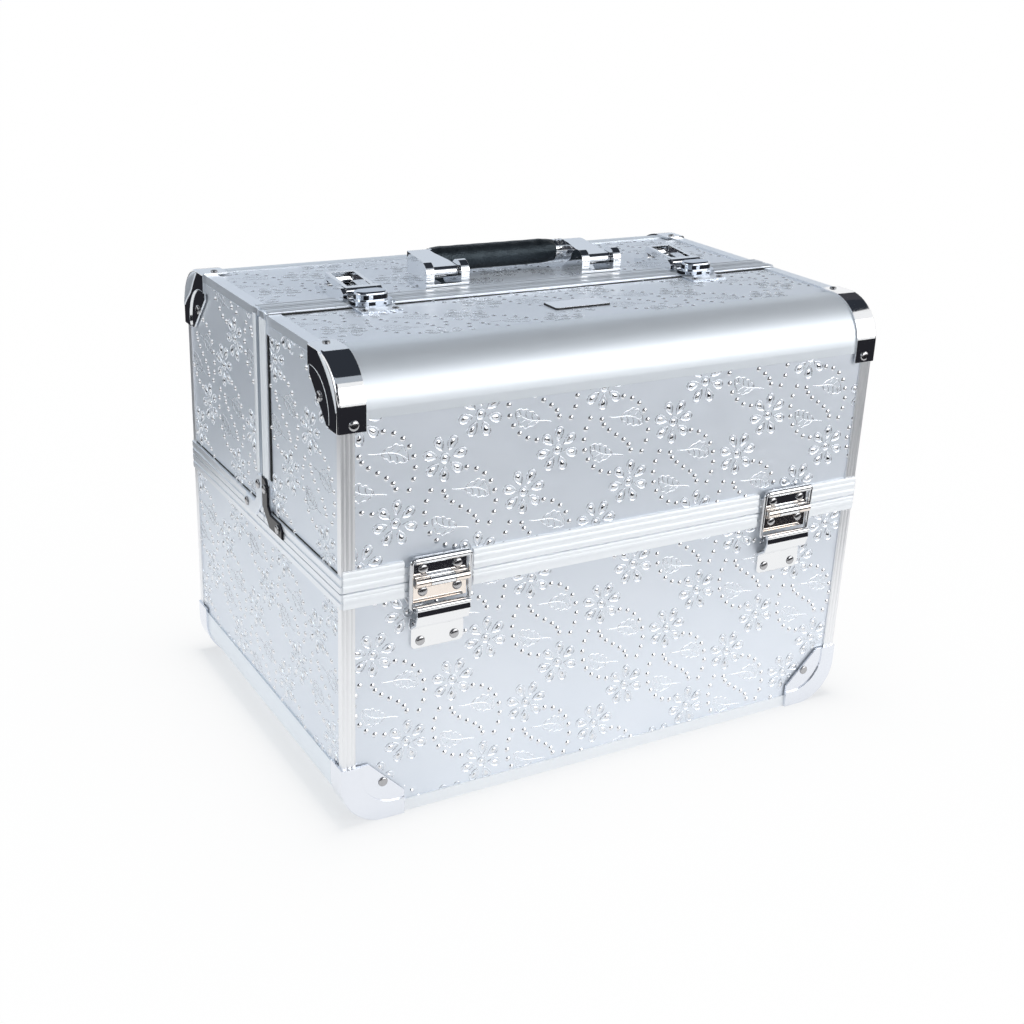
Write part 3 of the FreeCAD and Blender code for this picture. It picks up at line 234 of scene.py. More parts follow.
# Edges of the clips: middle from the corner, radius, first and last degree, width and height
CLIP_FACE = 182 * MM
CLIP_CORNER = mm(122, 275)
INNER_ARC = (32.9 * MM, 22.9 * MM, 172, 278, 0.6 * MM, 0.2 * MM)
FRONT_CRESCENT = (27.0 * MM, 26.7 * MM, 181, 262, 4.6 * MM, 0.5 * MM)
REAR_CRESCENT = (27.0 * MM, 26.7 * MM, 181, 268, 10.0 * MM, 0.6 * MM)
CRESCENT_SECTION = ((0.0, 0.0), (0.15, 0.7), (0.5, 1.0), (0.85, 0.7), (1.0, 0.0))
CRESCENT_STEPS = 32
CRESCENT_TIP = 0.03
CRESCENT_TAPER = 0.7

# Rivet heads
RIVET_GROWTH = 1.3
RIVET_LEVELS = ((1.0, 0.0), (0.93, 0.35), (0.76, 0.68), (0.45, 0.92))
RIVET_POINTS = 24

# Stage: a white table under soft lamps, with dark surroundings that only bright metal mirrors
WHITE = (1, 1, 1)
FLOOR_SIZE = 40.0
FLOOR_WHITE = (0.93, 0.93, 0.93)
FLOOR_SHADE = 0.5
SHADE_REACH = 6 * MM
FOOTPRINT = (0.181, 0.122, 1.0)
SOFT_LIGHT = (0.86, 0.93, 1.0)
SOFT_STRENGTH = 0.40
FAR = 3.0
CARD_LIFT = 2 * MM
CEILING = 3.2
CEILING_GREY = (0.45, 0.49, 0.54)
DARK = (0.02, 0.02, 0.025)
SKY = (0.03, 0.035, 0.045)
WALL_GREY = (0.66, 0.72, 0.80)
WALL_DARK = (0.06, 0.06, 0.07)

# Lines across the stage: Y in the middle and slant
FAR_FRONT = (-FAR, 0)
FAR_REAR = (FAR, 0)
TABLE_FRONT = (-0.4076, 0.1286)
TABLE_REAR = (0.45, 0)
TABLE_LEFT = -0.75
TABLE_RIGHT = 0.60
CEILING_FRONT = (-1.9, 0)

# Level cards: left and right end, front and rear line, height, brightness
LEVEL_CARDS = {
    "dark_floor_left": (-FAR, TABLE_LEFT, TABLE_FRONT, TABLE_REAR, CARD_LIFT, DARK),
    "dark_floor_right": (TABLE_RIGHT, FAR, TABLE_FRONT, TABLE_REAR, CARD_LIFT, DARK),
    "dark_floor_rear": (-FAR, FAR, TABLE_REAR, FAR_REAR, CARD_LIFT, DARK),
    "dark_floor_front": (-FAR, FAR, FAR_FRONT, TABLE_FRONT, CARD_LIFT, DARK),
    "grey_ceiling": (-FAR, FAR, FAR_FRONT, CEILING_FRONT, CEILING, CEILING_GREY),
    "dark_ceiling": (-FAR, FAR, CEILING_FRONT, FAR_REAR, CEILING, SKY),
}

# Upright cards: start and end on the ground, height of the foot, brightness
WALLS = {
    "grey_wall_rear": ((FAR, FAR), (-FAR, FAR), 0.3, WALL_GREY),
    "dark_wall_right": ((FAR, -0.5), (FAR, FAR), 2.2, WALL_DARK),
    "dark_wall_front": ((-FAR, -FAR), (1.0, -FAR), 0.4, WALL_DARK),
    "dark_wall_left": ((-FAR, 0.0), (-FAR, -FAR), 0.4, WALL_DARK),
}

# Lamps: place, width, height, power, colour
LAMP_TARGET = (0, 0, 0.14)
OVERHEAD_LAMP = ((0.0, 0.1, 1.9), 1.2, 0.8, 9.0, WHITE)
FRONT_LAMP = ((0.95, -1.6, 0.8), 1.9, 1.1, 15.5, WHITE)
LEFT_LAMP = ((-1.7, -0.4, 1.0), 0.8, 0.8, 7.0, (0.90, 0.96, 1.0))


# Materials

NOISE_MIDDLE = (0.3, 0.7)
EDGE_SAMPLES = 4
CLOUD_SCALE = 14.0
LEATHER_CLOUD = 220.0
LEATHER_CELLS = 900.0
FLOCK_CLOUD = 60.0
FLOCK_SHEEN = 0.3
MOULDED_CLOUD = 25.0
GRAIN_DETAIL = 4.0
GRAIN_STRENGTH = 0.6
SOFT_EDGE = 0.4 * MM
FINE_EDGE = 0.2 * MM
NO_EDGE = 0.0


def feed(socket, value):
    """Links an input to an output, or sets it to a value."""
    if isinstance(value, bpy.types.NodeSocket):
        socket.id_data.links.new(value, socket)
    else:
        socket.default_value = value


def add_node(tree, kind, **inputs):
    """A shader node with some of its inputs fed."""
    node = tree.nodes.new("ShaderNode" + kind)
    for name, value in inputs.items():
        feed(node.inputs[name], value)
    return node


def new_material(name, colour, metallic, roughness):
    """A principled material and its node tree."""
    material = bpy.data.materials.new(name)
    material.use_nodes = True
    shader = material.node_tree.nodes["Principled BSDF"]
    shader.inputs["Base Color"].default_value = (*colour, 1)
    shader.inputs["Metallic"].default_value = metallic
    shader.inputs["Roughness"].default_value = roughness
    return material, material.node_tree, shader


def noise(tree, scale, detail=3.0, stretch=(1, 1, 1)):
    """Noise over the object's own coordinates, in lengths of a metre over scale."""
    place = add_node(tree, "TexCoord").outputs["Object"]
    drawn = add_node(tree, "Mapping", Scale=stretch, Vector=place).outputs["Vector"]
    return add_node(tree, "TexNoise", Scale=scale, Detail=detail, Vector=drawn).outputs["Fac"]


def tint(tree, shader, scale, low, high):
    """Colour that drifts between two tones, over the middle of a noise's range."""
    node = add_node(tree, "ValToRGB", Fac=noise(tree, scale))
    for element, position, colour in zip(node.color_ramp.elements, NOISE_MIDDLE, (low, high)):
        element.position = position
        element.color = (*colour, 1)
    feed(shader.inputs["Base Color"], node.outputs["Color"])


def roughen(tree, shader, value, low, high):
    """Roughness that follows a noise from low to high."""
    node = add_node(tree, "MapRange", Value=value)
    for socket, level in zip(("From Min", "From Max", "To Min", "To Max"), (*NOISE_MIDDLE, low, high)):
        node.inputs[socket].default_value = level
    feed(shader.inputs["Roughness"], node.outputs["Result"])


def bump(tree, shader, value, distance, strength, edge=NO_EDGE):
    """Fine relief from a noise, over edges that are softened by a radius."""
    node = add_node(tree, "Bump", Strength=strength, Distance=distance, Height=value)
    if edge:
        soft = add_node(tree, "Bevel", Radius=edge)
        soft.samples = EDGE_SAMPLES
        feed(node.inputs["Normal"], soft.outputs["Normal"])
    feed(shader.inputs["Normal"], node.outputs["Normal"])


def metal(name, light, dark, metallic, rough, grain, edge=SOFT_EDGE):
    """Metal with a cloudy tone, a grain that follows its rolling direction and softened edges."""
    material, tree, shader = new_material(name, light, metallic, rough[0])
    tint(tree, shader, CLOUD_SCALE, dark, light)
    scale, stretch, depth = grain
    lines = noise(tree, scale, GRAIN_DETAIL, stretch)
    roughen(tree, shader, lines, *rough)
    bump(tree, shader, lines, depth, GRAIN_STRENGTH, edge)
    return material


def leather(name, low, high, shine):
    """Black grained leather with a cloudy tone."""
    material, tree, shader = new_material(name, low, metallic=0.0, roughness=0.40)
    shader.inputs["Specular Tint"].default_value = (*shine, 1)
    tint(tree, shader, LEATHER_CLOUD, low, high)
    roughen(tree, shader, noise(tree, scale=160.0), low=0.32, high=0.46)
    place = add_node(tree, "TexCoord").outputs["Object"]
    cells = add_node(tree, "TexVoronoi", Scale=LEATHER_CELLS, Vector=place)
    bump(tree, shader, cells.outputs["Distance"], distance=0.25 * MM, strength=0.7)
    return material


def flock(name, low, high):
    """Short-piled lining cloth."""
    material, tree, shader = new_material(name, low, metallic=0.0, roughness=0.9)
    tint(tree, shader, FLOCK_CLOUD, low, high)
    shader.inputs["Sheen Weight"].default_value = FLOCK_SHEEN
    bump(tree, shader, noise(tree, scale=1800.0, detail=5.0), distance=0.3 * MM, strength=0.8)
    return material


def moulded(name, low, high, rough, vary=0.06):
    """Moulded plastic with a fine spark texture."""
    material, tree, shader = new_material(name, low, metallic=0.0, roughness=rough)
    tint(tree, shader, MOULDED_CLOUD, low, high)
    spark = noise(tree, scale=1400.0, detail=4.0)
    roughen(tree, shader, spark, rough - vary, rough + vary)
    bump(tree, shader, spark, distance=0.06 * MM, strength=0.6, edge=SOFT_EDGE)
    return material


# Grains of metal: scale, the way that it is drawn out, and depth
LONGWAYS = (0.06, 1, 1)
UPWARDS = (1, 1, 0.06)
EVEN = (1, 1, 1)
PRESSED = (900.0, LONGWAYS, 0.01 * MM)
ROLLED = (900.0, LONGWAYS, 0.008 * MM)
FINE = (900.0, LONGWAYS, 0.006 * MM)
POLISHED = (500.0, EVEN, 0.003 * MM)

# Metals: light and dark tone, how metallic, roughness from and to, grain, edge
SHEET_LOOK = ((0.86, 0.90, 0.96), (0.82, 0.865, 0.93), 0.6, (0.42, 0.52), PRESSED)
SHEET = metal("pressed_sheet", *SHEET_LOOK)
SHEET_STRIP = metal("pressed_strip", *SHEET_LOOK, NO_EDGE)
RAISED = metal("pressed_ornament", (0.87, 0.90, 0.945), (0.83, 0.865, 0.915), 0.75,
               (0.22, 0.30), (900.0, EVEN, 0.01 * MM), NO_EDGE)
SPARK = metal("pressed_bead", (0.84, 0.855, 0.88), (0.80, 0.815, 0.84), 1.0,
              (0.10, 0.16), (900.0, EVEN, 0.005 * MM), NO_EDGE)
SATIN = metal("satin_rail", (0.895, 0.94, 0.985), (0.875, 0.92, 0.965), 0.75,
              (0.48, 0.54), (700.0, LONGWAYS, 0.008 * MM))
TRIM = metal("bright_trim", (0.87, 0.91, 0.965), (0.85, 0.89, 0.945), 0.6, (0.34, 0.42), ROLLED)
RIM = metal("rim_trim", (0.90, 0.93, 0.97), (0.88, 0.91, 0.95), 0.7, (0.30, 0.38), ROLLED)
# Darker, bluish: painted shade in the channel beside the rear split rail's bead
CHANNEL_SHADE = metal("split_channel_painted_shade", (0.60, 0.67, 0.75), (0.57, 0.64, 0.72), 0.6,
                (0.30, 0.38), (900.0, UPWARDS, 0.006 * MM), NO_EDGE)
SPLIT_TOP = metal("split_top", (0.88, 0.92, 0.97), (0.86, 0.90, 0.95), 0.7, (0.28, 0.36), FINE, NO_EDGE)
# Near-white and hardly metallic: painted highlight and painted reflection of the bright table and lamps,
# on the rim faces, bottom rails, split ridges and beads and the front clip crescents
WHITE_HIGHLIGHT = metal("painted_white_highlight", (0.975, 0.985, 0.995), (0.96, 0.97, 0.985), 0.1, (0.34, 0.42), FINE, NO_EDGE)
RIVET = metal("rivet_nickel", (0.50, 0.50, 0.51), (0.44, 0.44, 0.45), 1.0, (0.14, 0.22), POLISHED, NO_EDGE)
# Chrome with a warm tint: painted warm reflection on the lower hinge leaves
WARM_REFLECTION = metal("chrome_painted_warm_reflection", (0.92, 0.84, 0.77), (0.89, 0.80, 0.73), 1.0, (0.04, 0.08), POLISHED, FINE_EDGE)
POST = metal("corner_post", (0.95, 0.955, 0.97), (0.93, 0.935, 0.95), 0.75,
             (0.32, 0.40), (900.0, UPWARDS, 0.008 * MM))
CHROME = metal("chrome", (0.88, 0.89, 0.90), (0.84, 0.85, 0.87), 1.0, (0.03, 0.07), POLISHED, FINE_EDGE)
STRIKE = metal("strike_chrome", (0.60, 0.64, 0.70), (0.55, 0.59, 0.65), 1.0,
               (0.05, 0.10), POLISHED, FINE_EDGE)
WIRE = metal("steel_wire", (0.66, 0.67, 0.69), (0.60, 0.61, 0.63), 1.0, (0.06, 0.10), POLISHED, NO_EDGE)
CAP = metal("corner_cap", (0.865, 0.89, 0.945), (0.84, 0.865, 0.92), 0.85,
            (0.06, 0.11), POLISHED, FINE_EDGE)
# Black that stands for chrome mirroring the dark surroundings: painted dark reflection on the front
# brackets and the keeper bands
BLACK_REFLECTION = metal("painted_black_reflection", (0.016, 0.017, 0.020), (0.012, 0.012, 0.015), 1.0,
                     (0.10, 0.18), POLISHED, FINE_EDGE)
ARM = metal("steel_arm", (0.60, 0.61, 0.63), (0.52, 0.53, 0.55), 1.0,
            (0.30, 0.42), (800.0, (1, 0.1, 1), 0.01 * MM))
LEATHER = leather("grip_leather", (0.006, 0.008, 0.010), (0.014, 0.017, 0.020), (0.68, 0.86, 1.0))
LINING = flock("lining", (0.012, 0.012, 0.014), (0.022, 0.022, 0.025))
TRAY = moulded("tray_plastic", (0.014, 0.014, 0.016), (0.020, 0.020, 0.022), 0.42)
BOARD = moulded("floor_board", (0.030, 0.030, 0.033), (0.040, 0.040, 0.044), 0.6)
# Black of the painted shadow strips and of the badge's painted dark reflection
PAINTED_DARK = moulded("painted_shadow_black", (0.010, 0.010, 0.012), (0.015, 0.015, 0.017), 0.7)

SLOT_MATERIALS = dict(
    embossed_sheet=SHEET, satin_rail=SATIN, bright_trim=TRIM, chrome=CHROME, corner_cap=CAP,
    steel_arm=ARM, tray_plastic=TRAY, lining=LINING, floor_board=BOARD, grip_leather=LEATHER)

# Nodes that look unlike the rest of their slot
NODE_MATERIALS = dict(
    # The white bottom rails are painted reflection of the white table
    front_lid_split_rail=SPLIT_TOP, rear_lid_split_rail=SPLIT_TOP, base_bottom_rails=WHITE_HIGHLIGHT,
    # The front brackets' black is painted dark reflection, and the lower hinge leaves' warm tint is
    # painted warm reflection
    front_lid_brackets=BLACK_REFLECTION, hinge_lower_leaves=WARM_REFLECTION, front_hinge_bails=WIRE,
    rear_hinge_bails=WIRE, latch_strikes=STRIKE)
for shell in SHELLS:
    NODE_MATERIALS[shell + "_rim"] = RIM
    NODE_MATERIALS[shell + "_posts"] = POST


def dress_nodes():
    """Gives each node of the frame its own material or that of its slot."""
    for part in frame["record"]["subparts"]:
        node = NODES[part["node"]]
        node.data.materials.clear()
        material = NODE_MATERIALS.get(part["node"], SLOT_MATERIALS[part["material_slot"]])
        node.data.materials.append(material)


# Meshes


def turns(count):
    """Angles that share out a full turn."""
    return [2 * pi * i / count for i in range(count)]


def shares(steps):
    """Shares from 0 to 1 in equal steps."""
    return [step / steps for step in range(steps + 1)]


def join_rows(mesh, low, high, closed=True):
    """Quads between two rows of vertices, all the way round if closed."""
    count = len(low)
    faces = []
    for i in range(count if closed else count - 1):
        j = (i + 1) % count
        faces.append(mesh.faces.new((low[i], low[j], high[j], high[i])))
    return faces


def stack(mesh, rings, tip):
    """Rings of points joined upwards and closed by a tip, as their vertices and the faces of each band."""
    rows = [[mesh.verts.new(point) for point in ring] for ring in rings]
    top = mesh.verts.new(tip)
    bands = [join_rows(mesh, low, high) for low, high in zip(rows, rows[1:])]
    last = rows[-1]
    bands.append([mesh.faces.new((near, far, top)) for near, far in zip(last, last[1:] + last[:1])])
    return rows, bands


def skin(rows, closed=True, looped=False):
    """A mesh of quads between rows of points.

    A closed one goes round each row, and its end rows are filled, or joined if looped."""
    mesh = bmesh.new()
    rows = [[mesh.verts.new(point) for point in row] for row in rows]
    after = rows[1:] + (rows[:1] if looped else [])
    for low, high in zip(rows, after):
        join_rows(mesh, low, high, closed)
    if closed and not looped:
        mesh.faces.new(rows[0])
        mesh.faces.new(rows[-1])
    bmesh.ops.recalc_face_normals(mesh, faces=mesh.faces)
    return mesh


def new_object(name, data):
    """An object in the scene."""
    thing = bpy.data.objects.new(name, data)
    bpy.context.scene.collection.objects.link(thing)
    return thing


def add_piece(name, mesh, materials, body, smooth=True):
    """A new piece, made from a bmesh, that rides on a body."""
    data = bpy.data.meshes.new(name)
    mesh.to_mesh(data)
    mesh.free()
    for material in materials:
        data.materials.append(material)
    data.polygons.foreach_set("use_smooth", [smooth] * len(data.polygons))
    piece = new_object(name, data)
    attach(piece, body)
    return piece


def add_flat(name, rows, material, body, looped=False):
    """A flat-shaded piece of one material, skinned over rows of points."""
    add_piece(name, skin(rows, looped=looped), (material,), body, smooth=False)


# Pressed ornament


def leaf_half(share):
    """Half of a leaf's width at a share of its length, with lobes along the edge."""
    lobes = 1 - LOBE_DEPTH * (1 - abs(sin(LEAF_LOBES * pi * share)))
    return LEAF_WIDTH / 2 * sin(pi * share) ** LEAF_TAPER * lobes


def turned(a, b, angle, along, side):
    """A place that lies along and to the side of a direction from another place."""
    right, up = cos(angle), sin(angle)
    return a + along * right - side * up, b + along * up + side * right


class Relief:
    """Raised ornament on one face of a panel, collected into one mesh.

    Places are given across and up the face, and heights out of it."""

    BRIGHT = 0
    FLAT = 1
    SEED = 2
    RIM_LOOKS = (BRIGHT,) * 3 + (FLAT,) + (SEED,) * 3
    DOT_LOOKS = (SEED,) * len(DOT_LEVELS)

    def __init__(self, corner, across, up, width, height, rise=1.0):
        self.rise = rise
        self.corner = corner
        self.across = across
        self.up = up
        self.out = across.cross(up)
        self.width = width
        self.height = height
        self.mesh = bmesh.new()

    def place(self, a, b, h=0.0):
        return self.corner + self.across * a + self.up * b + self.out * (h * self.rise)

    def near(self, a, b, reach):
        """True where something of that reach touches the face."""
        return -reach < a < self.width + reach and -reach < b < self.height + reach

    def mound(self, rings, tip, looks):
        """A boss over rings of equally many places, with a look for each band."""
        points = [[self.place(*place) for place in ring] for ring in rings]
        bands = stack(self.mesh, points, self.place(*tip))[1]
        for band, look in zip(bands, looks):
            for face in band:
                face.material_index = look

    def round(self, a, b, radius, levels, tip, looks):
        """A round boss from pairs of a share of the radius and a height."""
        rings = []
        for share, level in levels:
            reach = share * radius
            places = [(reach * cos(turn), reach * sin(turn)) for turn in turns(DOT_POINTS)]
            rings.append([(a + right, b + up, level) for right, up in places])
        self.mound(rings, (a, b, tip), looks)

    def bead(self, a, b):
        if self.near(a, b, DOT_RADIUS):
            self.round(a, b, DOT_RADIUS, DOT_LEVELS, DOT_TIP, self.DOT_LOOKS)

    def petal(self, a, b, angle):
        """A teardrop with a raised rim, a flat field and a seed in the middle."""
        centre = PETAL_START + PETAL_MIDDLE

        def ring(share, level):
            places = []
            for t in turns(PETAL_POINTS):
                along = PETAL_LENGTH * (1 - cos(t)) / 2
                side = share * PETAL_WIDTH / 2 * sin(t) * abs(sin(t / 2)) ** PETAL_TAPER
                along = centre + share * (along - PETAL_MIDDLE)
                places.append((*turned(a, b, angle, along, side), level))
            return places

        tip = (*turned(a, b, angle, centre, 0), SEED_TIP)
        self.mound([ring(*level) for level in RIM_LEVELS], tip, self.RIM_LOOKS)

    def flower(self, a, b, turn):
        if not self.near(a, b, FLOWER_REACH):
            return
        for angle in turns(PETALS):
            self.petal(a, b, turn + angle)
        self.round(a, b, EYE_RADIUS, RIM_LEVELS, SEED_TIP, self.RIM_LOOKS)

    def ridge(self, places, half, rise):
        """A raised line along places, which tapers at its ends."""
        rows = []
        last = len(places) - 1
        for i, (a, b) in enumerate(places):
            before = places[max(i - 1, 0)]
            after = places[min(i + 1, last)]
            run = hypot(after[0] - before[0], after[1] - before[1])
            side_a = -(after[1] - before[1]) / run * half
            side_b = (after[0] - before[0]) / run * half
            level = rise if 0 < i < last else RIDGE_END * rise
            row = ((a + side_a, b + side_b, -SUNK), (a, b, level), (a - side_a, b - side_b, -SUNK))
            rows.append([self.mesh.verts.new(self.place(*place)) for place in row])
        for low, high in zip(rows, rows[1:]):
            for i in (0, 1):
                face = self.mesh.faces.new((low[i + 1], high[i + 1], high[i], low[i]))
                face.material_index = self.BRIGHT

    def leaf(self, a, b, angle):
        """An outlined leaf with lobes, a bowed midrib that ends as its stalk and a vein to each lobe."""
        if not self.near(a, b, LEAF_LENGTH):
            return

        def spot(share, side):
            along = LEAF_LENGTH * (share - 0.5)
            side += LEAF_BOW * sin(pi * share)
            return turned(a, b, angle, along, side)

        for sign in (-1, 1):
            outline = [spot(share, sign * leaf_half(share)) for share in shares(LEAF_STEPS)]
            self.ridge(outline, RIDGE_HALF, LEAF_RISE)
            for lobe in range(LEAF_LOBES):
                end = (lobe + 0.5) / LEAF_LOBES
                reach = sign * LOBE_VEIN * leaf_half(end)
                vein = [spot(end - VEIN_LAG * (1 - part) ** 2, reach * part) for part in (0.0, 0.5, 1.0)]
                self.ridge(vein, VEIN_HALF, VEIN_RISE)
        self.ridge([spot(share, 0) for share in STALK_SHARES], RIDGE_HALF, LEAF_RISE)

    def oval(self, a, b):
        """A beaded oval between two flowers, cut by a wavy chain into two rooms with a leaf each."""
        flower_a, flower_b = PAIR_ACROSS / 2, (REPEAT_UP - PAIR_UP) / 2
        for t in turns(OVAL_DOTS):
            dot_a, dot_b = OVAL_ACROSS * cos(t), OVAL_UP * sin(t)
            above = hypot(dot_a + flower_a, dot_b - flower_b)
            below = hypot(dot_a - flower_a, dot_b + flower_b)
            if min(above, below) > FLOWER_REACH + DOT_CLEAR:
                self.bead(a + dot_a, b + dot_b)
        for i in range(1, CHAIN_DOTS + 1):
            share = 2 * i / (CHAIN_DOTS + 1) - 1
            wave = CHAIN_WAVE * sin(pi * share)
            self.bead(a + OVAL_ACROSS * (CHAIN_ACROSS * share + wave), b - OVAL_UP * CHAIN_UP * share)
        for sign, turn in OVAL_LEAF_TURNS:
            self.leaf(a + sign * OVAL_LEAF[0], b + sign * OVAL_LEAF[1], turn)

    def fill(self, shift_across, shift_up):
        """Lays the repeat over the whole face, each column lower than the one before."""
        for column in range(-1, int(self.width / REPEAT_ACROSS) + 2):
            drop = (column * COLUMN_DROP) % REPEAT_UP
            for row in range(-1, int(self.height / REPEAT_UP) + 3):
                a = column * REPEAT_ACROSS + shift_across
                b = row * REPEAT_UP + shift_up - drop
                self.flower(a, b, PAIR_TURNS[0])
                self.flower(a + PAIR_ACROSS, b + PAIR_UP, PAIR_TURNS[1])
                self.oval(a + PAIR_ACROSS / 2, b - (REPEAT_UP - PAIR_UP) / 2)

    def trim(self, a, b, out_a, out_b):
        """Cuts away all that lies outside a line through a place of the face."""
        everything = self.mesh.verts[:] + self.mesh.edges[:] + self.mesh.faces[:]
        bmesh.ops.bisect_plane(self.mesh, geom=everything, plane_co=self.place(a, b),
                               plane_no=self.across * out_a + self.up * out_b, clear_outer=True)

    def press(self, name, body, shift, corners=()):
        """Fills the face from a shift, trims the ornament to it, less its covered corners, and adds it."""
        self.fill(*shift)
        for out_a, out_b in ((-1, 0), (0, -1), (1, 0), (0, 1)):
            self.trim(self.width * max(out_a, 0), self.height * max(out_b, 0), out_a, out_b)
        for right, top in corners:
            out_a = 1 if right else -1
            out_b = 1 if top else -1
            edge = self.height if top else 0
            self.trim((self.width if right else 0) - out_a * CORNER_CUT, edge, out_a, out_b)
        seed = SPARK if self.rise == 1.0 else RAISED
        add_piece("ornament_" + name, self.mesh, (RAISED, SHEET, seed), body)


def emboss_panels():
    """The pressed ornament of every outer panel."""
    for side, body, rear in (("front", "front_lid", False), ("rear", "rear_lid", True)):
        emboss_face(side + "_lid_panel", rear, body, LID_FACE_SHIFT)
        low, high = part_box(side + "_lid_top")
        corner = Vector((low.x, low.y, high.z))
        relief = Relief(corner, X, Y, high.x - low.x, high.y - low.y, TOP_RISE)
        relief.press(side + "_lid_top", body, LID_TOP_SHIFT)
        emboss_sides(side + "_lid_sides", body, LID_SIDE_SHIFT)
    emboss_face("base_front_panel", False, "base", BASE_FACE_SHIFT)
    emboss_face("base_rear_panel", True, "base", BASE_FACE_SHIFT)
    emboss_sides("base_side_panels", "base", BASE_SIDE_SHIFT)


def emboss_face(node, rear, body, shift):
    """Ornament on a front or rear panel; the base's has caps over its lower corners."""
    low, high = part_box(node)
    corner = Vector((high.x, high.y, low.z)) if rear else low
    relief = Relief(corner, -X if rear else X, Z, high.x - low.x, high.z - low.z)
    relief.press(node, body, shift, ((False, False), (True, False)) if body == "base" else ())


def emboss_side(name, body, sign, x, ends, heights, shift):
    """Ornament on a left or right face; a lid's has a clip over one corner."""
    near, far = ends
    foot, top = heights
    corner = Vector((x, far if sign < 0 else near, foot))
    relief = Relief(corner, Y * sign, Z, far - near, top - foot)
    corners = ((CLIP_RIGHT[body] == (sign < 0), True),) if body in CLIP_RIGHT else ()
    relief.press(name, body, shift, corners)


def emboss_sides(node, body, shift):
    """Ornament on the left and right panels of one node."""
    low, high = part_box(node)
    for side, sign in SIDES:
        x = low.x if sign < 0 else high.x
        emboss_side("%s_%s" % (node, side), body, sign, x, (low.y, high.y), (low.z, high.z), shift)


def bar_rows(x, proud, ends, foot, top):
    """Rows of a thin bar along Y on a side face, as deep behind the face as it is proud of it."""
    section = ((x - proud, foot), (x + proud, foot), (x + proud, top), (x - proud, top))
    return [[(a, y, z) for a, z in section] for y in ends]


def emboss_top_strips():
    """Pressed sheet over the lower part of the top trims, which takes the side ornament up to the edge."""
    for lid in CLIP_RIGHT:
        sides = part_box(lid + "_sides")
        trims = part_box(lid + "_top_trims")
        shift = (LID_SIDE_SHIFT[0], LID_SIDE_SHIFT[1] - (STRIP_FOOT - sides[0].z))
        for side, sign in SIDES:
            x = sign * trims[1].x
            name = "%s_top_strip_%s" % (lid, side)
            rows = bar_rows(x, STRIP_PROUD, (trims[0].y, trims[1].y), STRIP_FOOT, STRIP_TOP)
            add_flat(name, rows, SHEET_STRIP, lid)
            face = x + sign * STRIP_PROUD
            ends = (sides[0].y, sides[1].y)
            emboss_side(name, lid, sign, face, ends, (STRIP_FOOT, STRIP_TOP), shift)


# Grip and linings


def bell(value, middle, width):
    return exp(-((value - middle) / width) ** 2)


def grip_radius(share, turn):
    """Radius of the sleeve: full in the middle, drawn in and gathered at the rings, seamed below."""
    to_end = 1 - abs(share)
    neck = GRIP_NECK if share > 0 else GRIP_OVER
    radius = GRIP_FULL - (GRIP_FULL - neck) * exp(-to_end / GRIP_TAPER)
    gather = GATHER_DEPTH * exp(-to_end / GATHER_REACH)
    radius += gather * cos(GATHERS * turn + GATHER_TWIST * share)
    radius += CREASE_DEPTH * sin(CREASES * share + 2 * turn) * sin(3 * turn)
    fold = sum(weight * bell(share, middle, width) for middle, width, weight in FOLDS)
    radius += FOLD_DEPTH * fold * bell(sin(turn / 2), 0.0, FOLD_SPREAD)
    return radius + STITCH_DEPTH * bell(turn, pi, STITCH_SPREAD)


def add_grip():
    """Leather sleeve over the handle's core, slipped over most of the left collar."""
    low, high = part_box("handle_grip")
    low.x -= GRIP_SLIP
    middle = (low + high) / 2
    half = (high.x - low.x) / 2
    rows = []
    for step in shares(GRIP_STEPS):
        share = 2 * step - 1
        row = []
        for turn in turns(GRIP_POINTS):
            radius = grip_radius(share, turn)
            aside = Y * radius * sin(turn) + Z * radius * cos(turn)
            row.append(middle + X * share * half + aside)
        rows.append(row)
    grip = add_piece("grip_sleeve", skin(rows), (LEATHER,), "handle")
    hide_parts("handle_grip")


def rounded_ring(half_x, half_y, radius, z):
    """Points round a rectangle with round corners."""
    points = []
    for corner, (sign_x, sign_y) in enumerate(((1, 1), (-1, 1), (-1, -1), (1, -1))):
        for share in shares(ARC_STEPS):
            turn = pi / 2 * (corner + share)
            points.append(Vector((sign_x * (half_x - radius) + radius * cos(turn),
                                  sign_y * (half_y - radius) + radius * sin(turn), z)))
    return points


def liner_rows(low, high, inset):
    """Rings up one face of the liner, whose sides are rounded in at the foot."""
    half_x, half_y = high.x - inset, high.y - inset
    foot = LINER_FOOT - inset
    corner = LINER_CORNER - inset
    rows = []
    for share in shares(ARC_STEPS):
        turn = pi / 2 * share
        rows.append(rounded_ring(half_x - foot + foot * sin(turn), half_y, corner,
                                 low.z + inset + foot * (1 - cos(turn))))
    rows.append(rounded_ring(half_x, half_y, corner, high.z - LINER_WALL / 2))
    return rows


def add_liner():
    """Flocked liner of the base, with a rolled hem and a crowned floor."""
    low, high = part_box("base_liner")
    outside = liner_rows(low, high, 0)
    inside = liner_rows(low, high, LINER_WALL)
    half_wall = LINER_WALL / 2
    hem = rounded_ring(high.x - half_wall, high.y - half_wall, LINER_CORNER - half_wall, high.z)
    floor = [rounded_ring(high.x * share, high.y * share, LINER_CORNER * share,
                          low.z + LINER_WALL + LINER_CROWN * (1 - share)) for share in LINER_FLOOR]
    mesh = skin(outside + [hem] + inside[::-1] + floor)
    liner = add_piece("base_lining", mesh, (LINING,), "base")
    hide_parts("base_liner")


